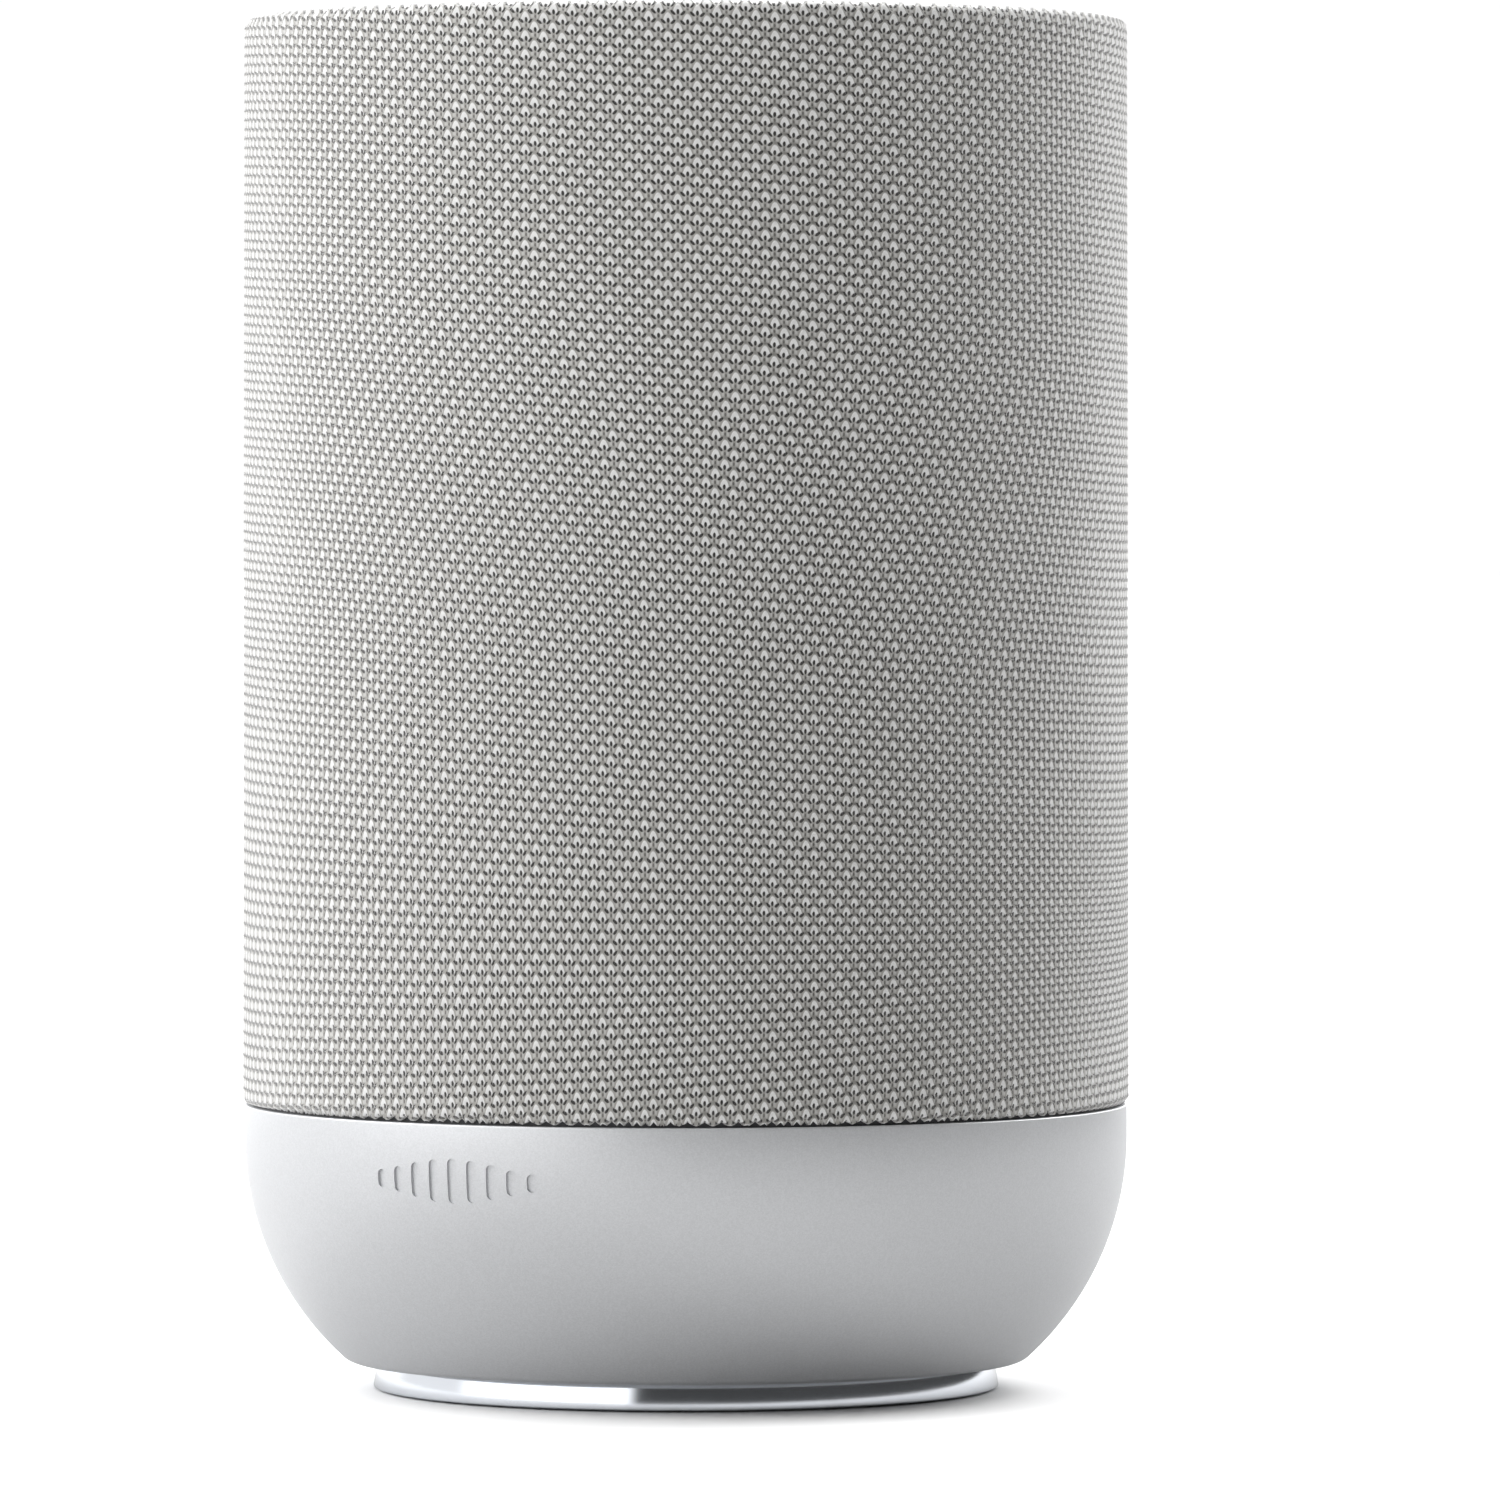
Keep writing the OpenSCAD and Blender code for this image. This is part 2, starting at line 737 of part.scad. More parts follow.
module woofer_cone() {
    color("#1c1d1f") at_woofer() rotate_extrude() polygon([
        [coil_r + glue_t, cone_neck_z - cone_t], [cone_edge_r, cone_edge_z - cone_t],
        [cone_edge_r, cone_edge_z], [coil_r + glue_t, cone_neck_z]
    ]);
}

// A thin dome of radius r at its edge and of height h, standing on z = 0
module dome(r, h, t) {
    sphere_r = (r * r + h * h) / (2 * h);
    rotate_extrude() polygon(concat(
        arc(0, h - sphere_r, sphere_r, asin((sphere_r - h) / sphere_r), 90, 10),
        arc(0, h - sphere_r, sphere_r - t, 90, asin((sphere_r - h) / sphere_r), 10)
    ));
}

module dust_cap() {
    color("#1c1d1f") at_woofer() translate([0, 0, cone_neck_z + 1.9]) dome(14.6, 5, 0.5);
}

module woofer_spider() {
    color("#c9a35c") at_woofer() rotate_extrude() polygon(concat(
        [for (i = [0:12]) [coil_r + 0.5 + i * 1.25, spider_z + 0.5 * sin(i * 180 / 2)]],
        [for (i = [12:-1:0]) [coil_r + 0.5 + i * 1.25, spider_z + 0.5 + 0.5 * sin(i * 180 / 2)]]
    ));
}

// A half roll of rubber from r_in to r_out, with a glued lip on its outer side
module half_roll(r_in, r_out, lip, t, z) {
    mid = (r_in + r_out) / 2;
    half = (r_out - r_in) / 2;
    rotate_extrude() polygon(concat(
        arc(mid, z, half, 180, 0, 14),
        [[r_out + lip, z], [r_out + lip, z + t], [r_out, z + t]],
        arc(mid, z + t, half, 0, 180, 14)
    ));
}

module woofer_surround() {
    color("#101113") at_woofer() half_roll(cone_edge_r + 0.1, 36.6, roll_lip, 0.6, flange_z);
}

module woofer_screws() {
    color(steel) at_woofer() polar(driver_screw_r, [45:90:315]) translate([0, 0, flange_z]) screw(8);
}

// ---- Tweeters

module tweeter_frame() {
    difference() {
        union() {
            cylinder(r = tweeter_plate_r, h = 2);
            translate([0, 0, -tweeter_depth]) cylinder(r = tweeter_body_r, h = tweeter_depth + eps);
        }
        translate([0, 0, -tweeter_depth + 0.6]) cylinder(r = tweeter_body_r - 1.2, h = tweeter_depth - 0.6);
        translate([0, 0, -1]) cylinder(r = tweeter_hole_r, h = 4);
        polar(tweeter_screw_r, [0, 180]) translate([0, 0, -1]) cylinder(r = 1, h = 4);
    }
}

module tweeter_motor() {
    difference() {
        translate([0, 0, 0.6 - tweeter_depth]) cylinder(r = tweeter_body_r - 1.3, h = 6);
        ring(tweeter_dome_r - 0.8, tweeter_dome_r + 0.3, -5.6, 0);
    }
}

module tweeter_dome() {
    dome(tweeter_dome_r, 3, 0.3);
    ring(tweeter_dome_r - 0.4, tweeter_dome_r, -4.8, 0.2);
}

module tweeter_left_frame() {
    color("#26272a") at_tweeter(-1) tweeter_frame();
}

module tweeter_left_motor() {
    color("#4a4b4e") at_tweeter(-1) tweeter_motor();
}

module tweeter_left_dome() {
    color("#0f1012") at_tweeter(-1) tweeter_dome();
}

module tweeter_right_frame() {
    color("#26272a") at_tweeter(1) tweeter_frame();
}

module tweeter_right_motor() {
    color("#4a4b4e") at_tweeter(1) tweeter_motor();
}

module tweeter_right_dome() {
    color("#0f1012") at_tweeter(1) tweeter_dome();
}

module tweeter_screws() {
    color(steel) for (side = [-1, 1]) at_tweeter(side)
        polar(tweeter_screw_r, [0, 180]) translate([0, 0, 2]) {
            cylinder(r = 1.5, h = 1);
            translate([0, 0, -5]) cylinder(r = 0.7, h = 5 + eps);
        }
}

// ---- Passive radiator

module radiator_frame() {
    color("#26272a") at_radiator() difference() {
        ring(radiator_inner_r, flange_r, 0, flange_z);
        driver_holes();
    }
}

module radiator_diaphragm() {
    color("#1c1d1f") at_radiator() {
        translate([0, 0, flange_z - 1.6]) cylinder(r = diaphragm_r, h = 2);
        translate([0, 0, flange_z - 7]) cylinder(r = 11, h = 5.4 + eps);
    }
}

module radiator_surround() {
    color("#101113") at_radiator() half_roll(diaphragm_r + 0.1, radiator_inner_r, roll_lip, 0.6, flange_z);
}

module radiator_screws() {
    color(steel) at_radiator() polar(driver_screw_r, [45:90:315]) translate([0, 0, flange_z]) screw(8);
}

// ---- Grille and top

module grille_frame() {
    fillet = shoulder_fillet - 0.5;
    color(dark_plastic) difference() {
        rotate_extrude() polygon(concat(
            [[frame_r - frame_t, frame_z0], [frame_r, frame_z0]],
            arc(frame_top_r - fillet, frame_top - fillet, fillet, 0, 90, 6),
            [[collar_r, frame_top], [collar_r, panel_z], [touch_r + 0.2, panel_z],
                [touch_r + 0.2, touch_z], [shelf_r, touch_z], [shelf_r, shelf_z],
                [frame_inner_r, shelf_z]]
        ));
        for (row = [0:window_rows - 1], i = [0:window_columns / 2 - 1])
            rotate([0, 0, (i + 0.5) * 360 / window_columns])
                translate([0, 0, window_z0 + row * window_pitch])
                    cube([window_w, 3 * body_r, window_h], center = true);
    }
}

module fabric_sleeve() {
    z_top = total_h - shoulder_fillet;
    inner_fillet = shoulder_fillet - sleeve_t;
    color(sleeve_grey) rotate_extrude() polygon(concat(
        [[body_r - sleeve_t, seam_z + seam_gap + 0.8], [body_r - 0.8, seam_z + seam_gap],
            [body_r, seam_z + seam_gap + 0.8]],
        arc(shoulder_r - shoulder_fillet, z_top, shoulder_fillet, 0, 90, 8),
        [[collar_r + 0.2, total_h], [collar_r + 0.2, total_h - sleeve_t]],
        arc(shoulder_r - shoulder_fillet, z_top, inner_fillet, 90, 0, 8)
    ));
}

module top_ring() {
    color(metal_blue_grey) rotate_extrude() polygon([
        [ring_r, panel_z], [collar_r - 0.1, panel_z], [collar_r - 0.1, total_h - 0.3],
        [collar_r - 0.4, total_h], [ring_r + 0.4, total_h], [ring_r, total_h - 0.4]
    ]);
}

module light_guide() {
    color("#eef0f2") ring(light_r, ring_r - 0.2, panel_z, panel_top);
}

// The outlines of the touch marks: less, more, play and three presets
module mark_outlines() {
    translate([-icon_d, 0]) square([icon_l, icon_w], center = true);
    translate([icon_d, 0]) {
        square([icon_l, icon_w], center = true);
        square([icon_w, icon_l], center = true);
    }
    polygon([[-4, -6], [-4, 6], [6, 0]]);
    for (i = [-1:1]) translate([i * 12, icon_d]) circle(r = preset_r);
}

module top_panel() {
    color("#3a3c40") difference() {
        translate([0, 0, panel_z]) cylinder(r = light_r - 0.2, h = panel_top - panel_z);
        translate([0, 0, panel_top - icon_t]) linear_extrude(1) mark_outlines();
        polar(mic_r, [45:90:315]) translate([0, 0, panel_z - 1]) cylinder(r = mic_hole_r, h = 10);
    }
}

module control_marks() {
    color("#f1f1f0") translate([0, 0, panel_top - icon_t]) linear_extrude(icon_t) mark_outlines();
}

module touch_board() {
    color(board_green) difference() {
        translate([0, 0, touch_z]) cylinder(r = touch_r, h = board_t);
        polar(mic_r, [45:90:315]) translate([0, 0, touch_z - 1]) cylinder(r = mic_hole_r, h = 10);
    }
}

module microphones() {
    color("#d8b25a") polar(mic_r, [45:90:315]) block([-2, -1.5, touch_z - 1.2], [2, 1.5, touch_z]);
}

foot_pad();
foot_ring();
bottom_plate();
threaded_insert();
base_screws();
base_shell();
port_panel();
port_board();
mains_inlet();
inlet_pins();
mains_leads();
usb_socket();
aux_jack();
pairing_button();
mic_switch();
power_board();
board_spacers();
main_board();
board_screws();
heat_sink();
radio_module();
antennas();
ribbon_cable();
speaker_leads();
chassis();
chassis_screws();
cabinet_floor();
cabinet_gasket();
cabinet();
cabinet_screws();
woofer_gasket();
woofer_basket();
woofer_front_plate();
woofer_magnet();
woofer_yoke();
voice_coil();
woofer_cone();
dust_cap();
woofer_spider();
woofer_surround();
woofer_screws();
tweeter_left_frame();
tweeter_left_motor();
tweeter_left_dome();
tweeter_right_frame();
tweeter_right_motor();
tweeter_right_dome();
tweeter_screws();
radiator_frame();
radiator_diaphragm();
radiator_surround();
radiator_screws();
grille_frame();
fabric_sleeve();
top_ring();
light_guide();
top_panel();
control_marks();
touch_board();
microphones();
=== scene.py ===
"""Studio picture of a tabletop smart speaker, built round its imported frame.

The frame gives every size and place. Each sub-assembly is a class that models its visible pieces and
dresses them, each finish is a small class that builds one material, and the studio makes the floor, the
light and the camera. Lengths are in metres, the front is -Y and up is +Z.
"""

import json
import logging
import math
from dataclasses import dataclass, field
from enum import Enum
from typing import Callable

import bmesh
import bpy
import numpy as np
from mathutils import Matrix, Vector


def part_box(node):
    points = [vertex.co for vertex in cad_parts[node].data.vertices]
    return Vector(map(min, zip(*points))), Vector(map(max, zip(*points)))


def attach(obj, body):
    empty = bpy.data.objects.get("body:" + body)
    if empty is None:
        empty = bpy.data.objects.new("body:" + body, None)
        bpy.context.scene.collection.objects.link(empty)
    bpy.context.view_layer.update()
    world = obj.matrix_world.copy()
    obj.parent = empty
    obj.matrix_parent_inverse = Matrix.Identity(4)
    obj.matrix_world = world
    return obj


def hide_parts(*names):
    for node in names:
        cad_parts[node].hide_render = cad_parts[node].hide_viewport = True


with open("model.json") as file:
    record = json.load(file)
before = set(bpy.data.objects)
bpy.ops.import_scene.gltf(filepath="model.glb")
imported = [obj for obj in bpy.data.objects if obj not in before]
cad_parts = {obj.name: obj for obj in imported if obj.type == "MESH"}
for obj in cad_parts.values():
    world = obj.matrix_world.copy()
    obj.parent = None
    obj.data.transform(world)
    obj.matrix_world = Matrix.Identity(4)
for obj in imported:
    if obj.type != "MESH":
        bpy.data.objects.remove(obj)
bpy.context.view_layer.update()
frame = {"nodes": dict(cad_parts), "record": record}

LOG = logging.getLogger("speaker")
MM = 0.001
MERGE = 0.000001
FULL_TURN = 2 * math.pi

Outline = list[tuple[float, float]]
Colour = tuple[float, float, float]
Piece = bpy.types.Object


class Body(Enum):
    """The rigid bodies that pieces ride on."""

    HOUSING = "housing"
    BUTTON = "pairing_button_cap"
    SWITCH = "mic_switch_slider"


# ---------------------------------------------------------------------------------------------
# Shader graphs


class Signal:
    """A socket's value, on which Python's operators add Math nodes."""

    def __init__(self, graph: "Graph", socket: bpy.types.NodeSocket) -> None:
        """Wrap a socket of a graph."""
        self.graph = graph
        self.socket = socket

    def math(self, operation: str, *others: object) -> "Signal":
        """Add a Math node that works on this value and others."""
        return self.graph.node("ShaderNodeMath", {"operation": operation}, dict(enumerate((self, *others))))

    def __add__(self, other: object) -> "Signal":
        """Return the sum."""
        return self.math("ADD", other)

    __radd__ = __add__

    def __sub__(self, other: object) -> "Signal":
        """Return the difference."""
        return self.math("SUBTRACT", other)

    def __rsub__(self, other: float) -> "Signal":
        """Return a number minus this value."""
        return self * -1.0 + other

    def __mul__(self, other: object) -> "Signal":
        """Return the product."""
        return self.math("MULTIPLY", other)

    __rmul__ = __mul__

    def __truediv__(self, other: object) -> "Signal":
        """Return the quotient."""
        return self.math("DIVIDE", other)

    def __abs__(self) -> "Signal":
        """Return the size without its sign."""
        return self.math("ABSOLUTE")

    def fraction(self) -> "Signal":
        """Return the part after the decimal point."""
        return self.math("FRACT")

    def larger(self, other: object) -> "Signal":
        """Return the larger of two values."""
        return self.math("MAXIMUM", other)

    def rise(self, low: float, high: float) -> "Signal":
        """Return a smooth rise from 0 at low to 1 at high."""
        settings = {"interpolation_type": "SMOOTHSTEP"}
        inputs = {"Value": self, "From Min": low, "From Max": high}
        return self.graph.node("ShaderNodeMapRange", settings, inputs)

    def fall(self, low: float, high: float) -> "Signal":
        """Return a smooth fall from 1 at low to 0 at high."""
        return 1.0 - self.rise(low, high)


class Graph:
    """A node tree under construction."""

    def __init__(self, tree: bpy.types.NodeTree) -> None:
        """Empty a material's or a world's tree and start from there."""
        tree.nodes.clear()
        self.tree = tree

    def node(self, kind: str, settings: dict, inputs: dict, output: object = 0) -> Signal:
        """Add a node.

        Args:
            kind: The node's type name.
            settings: Properties, set before the sockets.
            inputs: Socket names or numbers, with a value or a Signal for each.
            output: The name or number of the socket that is returned.

        Returns:
            The chosen output.
        """
        made = self.tree.nodes.new(kind)
        for name, value in settings.items():
            setattr(made, name, value)
        for key, value in inputs.items():
            socket = made.inputs[key]
            if isinstance(value, Signal):
                self.tree.links.new(value.socket, socket)
            else:
                socket.default_value = value
        return Signal(self, made.outputs[output] if made.outputs else None)

    def place(self, source: str = "Object") -> Signal:
        """Return the place on the piece, in Object or UV coordinates."""
        return self.node("ShaderNodeTexCoord", {}, {}, source)

    def split(self, vector: Signal) -> list[Signal]:
        """Return a vector's three parts."""
        parts = self.node("ShaderNodeSeparateXYZ", {}, {0: vector})
        return [Signal(self, socket) for socket in parts.socket.node.outputs]

    def join(self, x: object, y: object, z: object = 0.0) -> Signal:
        """Return a vector made of three parts."""
        return self.node("ShaderNodeCombineXYZ", {}, {0: x, 1: y, 2: z})

    def noise(self, at: Signal, scale: float, detail: float = 2.0, roughness: float = 0.5) -> Signal:
        """Return smooth noise from 0 to 1."""
        inputs = {"Vector": at, "Scale": scale, "Detail": detail, "Roughness": roughness}
        return self.node("ShaderNodeTexNoise", {}, inputs)

    def cells(self, at: Signal, scale: float, output: str = "Distance") -> Signal:
        """Return the distance to the nearest of many scattered points, or that point's colour."""
        return self.node("ShaderNodeTexVoronoi", {}, {"Vector": at, "Scale": scale}, output)

    def blend(self, share: object, a: object, b: object) -> Signal:
        """Return colour a where share is 0 and colour b where it is 1."""
        a, b = ((*c, 1.0) if isinstance(c, tuple) else c for c in (a, b))
        return self.node("ShaderNodeMix", {"data_type": "RGBA"}, {0: share, 6: a, 7: b}, 2)

    def bump(self, height: Signal, depth: float, strength: float = 1.0) -> Signal:
        """Return a normal from a height from 0 to 1 that is depth metres deep."""
        return self.node("ShaderNodeBump", {}, {"Height": height, "Distance": depth, "Strength": strength})


# ---------------------------------------------------------------------------------------------
# Finishes


@dataclass(frozen=True)
class Finish:
    """A moulded or cast surface with a fine grain.

    Attributes:
        name: The material's name.
        colour: Its mean linear colour.
        roughness: Its mean roughness.
        metallic: 1 for bare metal.
        grain: How many grains there are in a metre.
        depth: How deep the grain is, in metres.
        mottle: How far the colour varies, as a share.
        coat: The weight of a clear coat.
        sheen: The weight of a soft sheen.
    """

    name: str
    colour: Colour
    roughness: float = 0.5
    metallic: float = 0.0
    grain: float = 1800.0
    depth: float = 0.02 * MM
    mottle: float = 0.08
    coat: float = 0.0
    sheen: float = 0.0

    def build(self) -> bpy.types.Material:
        """Return the material, made the first time that it is asked for."""
        label = f"{self.name}_finish"
        material = bpy.data.materials.get(label)
        if material is None:
            material = bpy.data.materials.new(label)
            material.use_nodes = True
            graph = Graph(material.node_tree)
            inputs = {
                "Metallic": self.metallic, "Coat Weight": self.coat, "Coat Roughness": 0.12,
                "Sheen Weight": self.sheen, "Sheen Roughness": 0.5, **self.surface(graph),
            }
            shader = graph.node("ShaderNodeBsdfPrincipled", {}, inputs)
            graph.node("ShaderNodeOutputMaterial", {}, {"Surface": shader})
        return material

    def shade(self, factor: float) -> Colour:
        """Return the colour, made lighter or darker."""
        return tuple(min(1.0, c * factor) for c in self.colour)

    def tinted(self, graph: Graph, tone: Signal) -> Signal:
        """Return the colour, varied by a tone from 0 to 1."""
        return graph.blend(tone, self.shade(1 - self.mottle), self.shade(1 + self.mottle))

    def surface(self, graph: Graph) -> dict:
        """Return the shader's inputs: fine grain over broad, faint clouds."""
        at = graph.place()
        fine = graph.noise(at, self.grain, 3.0, 0.6)
        broad = graph.noise(at, self.grain / 60)
        return {
            "Base Color": self.tinted(graph, fine * 0.6 + broad * 0.4),
            "Roughness": self.roughness * 0.9 + broad * (self.roughness * 0.2),
            "Normal": graph.bump(fine, self.depth, 0.6),
        }


@dataclass(frozen=True)
class Satin(Finish):
    """Painted or blasted metal with a fine, even sparkle."""

    def surface(self, graph: Graph) -> dict:
        """Return the shader's inputs: tiny flakes of differing brightness."""
        at = graph.place()
        flake, _, _ = graph.split(graph.cells(at, self.grain, "Color"))
        dust = graph.noise(at, self.grain * 0.5, 2.0, 0.7)
        cloud = graph.noise(at, 25.0)
        return {
            "Base Color": self.tinted(graph, flake * 0.55 + dust * 0.3 + cloud * 0.15),
            "Roughness": self.roughness - 0.03 + flake * 0.06,
            "Normal": graph.bump(dust, self.depth, 0.35),
        }


@dataclass(frozen=True)
class Turned(Finish):
    """Metal with the faint circular lines that a lathe or a polishing wheel leaves."""

    def surface(self, graph: Graph) -> dict:
        """Return the shader's inputs: noise drawn out round the vertical axis."""
        x, y, z = graph.split(graph.place())
        radius = (x * x + y * y).math("SQRT")
        lines = graph.noise(graph.join(radius * self.grain, z * self.grain, x * 20.0), 1.0, 2.0, 0.6)
        smears = graph.noise(graph.place(), 60.0, 3.0)
        return {
            "Base Color": self.tinted(graph, lines * 0.5 + smears * 0.5),
            "Roughness": self.roughness * 0.8 + smears * (self.roughness * 0.4),
            "Normal": graph.bump(lines, self.depth, 0.25),
        }


@dataclass(frozen=True)
class Circuit(Finish):
    """A printed board: solder mask, copper tracks under it and small tinned pads."""

    tinned: Colour = (0.62, 0.62, 0.6)

    def surface(self, graph: Graph) -> dict:
        """Return the shader's inputs: tracks along a grid, and scattered pads."""
        at = graph.place()
        x, y, _ = graph.split(at)
        sway = graph.cells(at, 90.0, "Color")
        _, turn, _ = graph.split(sway)
        pick = turn.rise(0.48, 0.52)
        across = x * pick + y * (1.0 - pick)
        track = abs((across * 520.0).fraction() - 0.5).fall(0.14, 0.2)
        pad = graph.cells(at, 330.0).fall(0.16, 0.2)
        mask = graph.blend(track, self.shade(0.8), self.shade(1.5))
        return {
            "Base Color": graph.blend(pad, mask, self.tinned),
            "Roughness": self.roughness - pad * 0.12 + graph.noise(at, 700.0) * 0.05,
            "Metallic": pad,
            "Normal": graph.bump(track * 0.5 + pad, 0.04 * MM),
        }


@dataclass(frozen=True)
class Woven(Finish):
    """A close plain weave of round threads."""

    def surface(self, graph: Graph) -> dict:
        """Return the shader's inputs: crossing threads and a little fuzz."""
        at = graph.place()
        x, y, z = graph.split(at)
        warp = (x * self.grain).math("SINE")
        weft = ((y + z) * self.grain).math("SINE")
        thread = warp * weft * 0.5 + 0.5
        fuzz = graph.noise(at, self.grain * 1.7, 3.0)
        return {
            "Base Color": self.tinted(graph, thread * 0.7 + fuzz * 0.3),
            "Roughness": self.roughness - 0.05 + fuzz * 0.1,
            "Normal": graph.bump(thread * 0.8 + fuzz * 0.2, self.depth),
        }


@dataclass(frozen=True)
class Drawn(Finish):
    """Wire, cable and film with fine lines along one direction of the part."""

    def surface(self, graph: Graph) -> dict:
        """Return the shader's inputs: parallel lines, with scuffs."""
        at = graph.place()
        x, y, _ = graph.split(at)
        line = abs(((x * 0.2 + y) * self.grain).fraction() - 0.5) * 2.0
        scuff = graph.noise(at, 350.0, 3.0)
        return {
            "Base Color": self.tinted(graph, line * 0.6 + scuff * 0.4),
            "Roughness": self.roughness * 0.9 + scuff * (self.roughness * 0.2),
            "Normal": graph.bump(line, self.depth, 0.7),
        }


@dataclass(frozen=True)
class Paper(Finish):
    """The studio floor's paper, which is seen white but throws little light back up.

    Attributes:
        thrown: How much of its light it throws back on other things, as a share.
    """

    thrown: float = 0.6

    def surface(self, graph: Graph) -> dict:
        """Return the shader's inputs: a plain white, dimmed for everything but the camera."""
        seen = graph.node("ShaderNodeLightPath", {}, {}, "Is Camera Ray")
        colour = graph.blend(seen, self.shade(self.thrown), self.colour)
        return {"Base Color": colour, "Roughness": self.roughness}


@dataclass(frozen=True)
class Stitched(Finish):
    """The sleeve's knit: light pointed loops, with painted shade on the deeper yarn and the small holes
    between them.

    Attributes:
        shaded_ground: The colour of the yarn that lies deeper, darkened with painted shade.
        hole: Painted shade: a near-black for the shaded inside seen through the knit, where the cloth has no
            opening.
        course: The height of one row of loops, in widths of a loop.
    """

    shaded_ground: Colour = (0.35, 0.335, 0.305)
    hole: Colour = (0.03, 0.028, 0.025)
    course: float = 0.549

    def loops(self, graph: Graph, u: Signal, v: Signal, shift: float) -> tuple[Signal, Signal]:
        """Shade every second row of loops.

        Args:
            graph: The material's node tree.
            u: The place round the sleeve, in loops.
            v: The place down the sleeve, in the same unit.
            shift: 0 for the even rows and 1 for the odd ones.

        Returns:
            How much of the light yarn and how much of a hole there is, each from 0 to 1.
        """
        lead = 0.1
        cell = 2 * self.course
        x = abs((u - (0.5 * shift - 0.5)).fraction() - 0.5)
        y = ((v - (self.course * shift - lead)) / cell).fraction() * cell - lead

        def spot(centre: tuple[object, float], radii: tuple[float, float], soft: float) -> Signal:
            """Return an oval that is 1 inside and 0 outside, with a soft edge."""
            across = (x - centre[0]) / radii[0]
            down = (y - centre[1]) / radii[1]
            return (across * across + down * down).fall(1.0 - soft, 1.0 + soft)

        # A loop is a light, pointed bell with two paler legs below it; the deeper yarn around it is painted
        # shade.
        # It has a hole under the bell, a smaller one between the legs, and a slanting one at its side, each
        # painted near-black as shade, since the cloth has no opening there.
        bell = (y * 0.15 - x * x).rise(-0.006, 0.01) * y.fall(0.46, 0.66)
        beside = abs(x - 0.14).fall(0.04, 0.09) * y.rise(0.6, 0.68) * y.fall(0.84, 0.96)
        lean = 0.586 - y * 0.6
        holes = spot((0.0, 0.47), (0.08, 0.145), 0.35).larger(spot((0.0, 0.8), (0.055, 0.1), 0.5) * 0.6)
        return bell.larger(beside * 0.4), holes.larger(spot((lean, 0.55), (0.1, 0.135), 0.35))

    def surface(self, graph: Graph) -> dict:
        """Return the shader's inputs: loops, holes, fibres and faint differences between loops."""
        u, v, _ = graph.split(graph.place("UV"))
        even, odd = (self.loops(graph, u, v, shift) for shift in (0.0, 1.0))
        light = even[0].larger(odd[0])
        hole = even[1].larger(odd[1])
        fibre = graph.noise(graph.join(u * 9.0, v * 2.6), 3.0, 3.0, 0.65)
        yarn = graph.noise(graph.join(u, v), 1.3, 1.0)
        cloud = graph.noise(graph.place(), 22.0, 2.0)
        # Painted shade: the deeper yarn is a darker copy of the loops' colour, and the paler legs lie between
        # the two.
        cloth = graph.blend(light, self.shaded_ground, self.colour)
        worn = graph.blend(fibre * 0.26 + yarn * 0.12 + cloud * 0.04, cloth, self.shade(0.55))
        return {
            # Painted shade: the holes are painted near-black for the shaded inside, as the cloth is not open
            # there.
            "Base Color": graph.blend(hole, worn, self.hole),
            "Roughness": self.roughness - 0.06 + fibre * 0.12,
            "Normal": graph.bump(light * 0.55 - hole * 0.45 + fibre * 0.3, self.depth, 0.8),
        }


BOWL_PAINT = Satin("bowl_metal", (0.585, 0.593, 0.608), 0.44, 0.55, 5200.0, 0.01 * MM, 0.10)
RING_POLISH = Turned("ring_metal", (0.80, 0.83, 0.88), 0.10, 1.0, 2600.0, 0.004 * MM, 0.03)
TRIM_SATIN = Turned("trim_metal", (0.60, 0.625, 0.65), 0.34, 0.9, 2600.0, 0.006 * MM, 0.06)
SLEEVE_KNIT = Stitched("knit", (0.87, 0.866, 0.86), 0.86, depth=0.25 * MM, sheen=1.0)

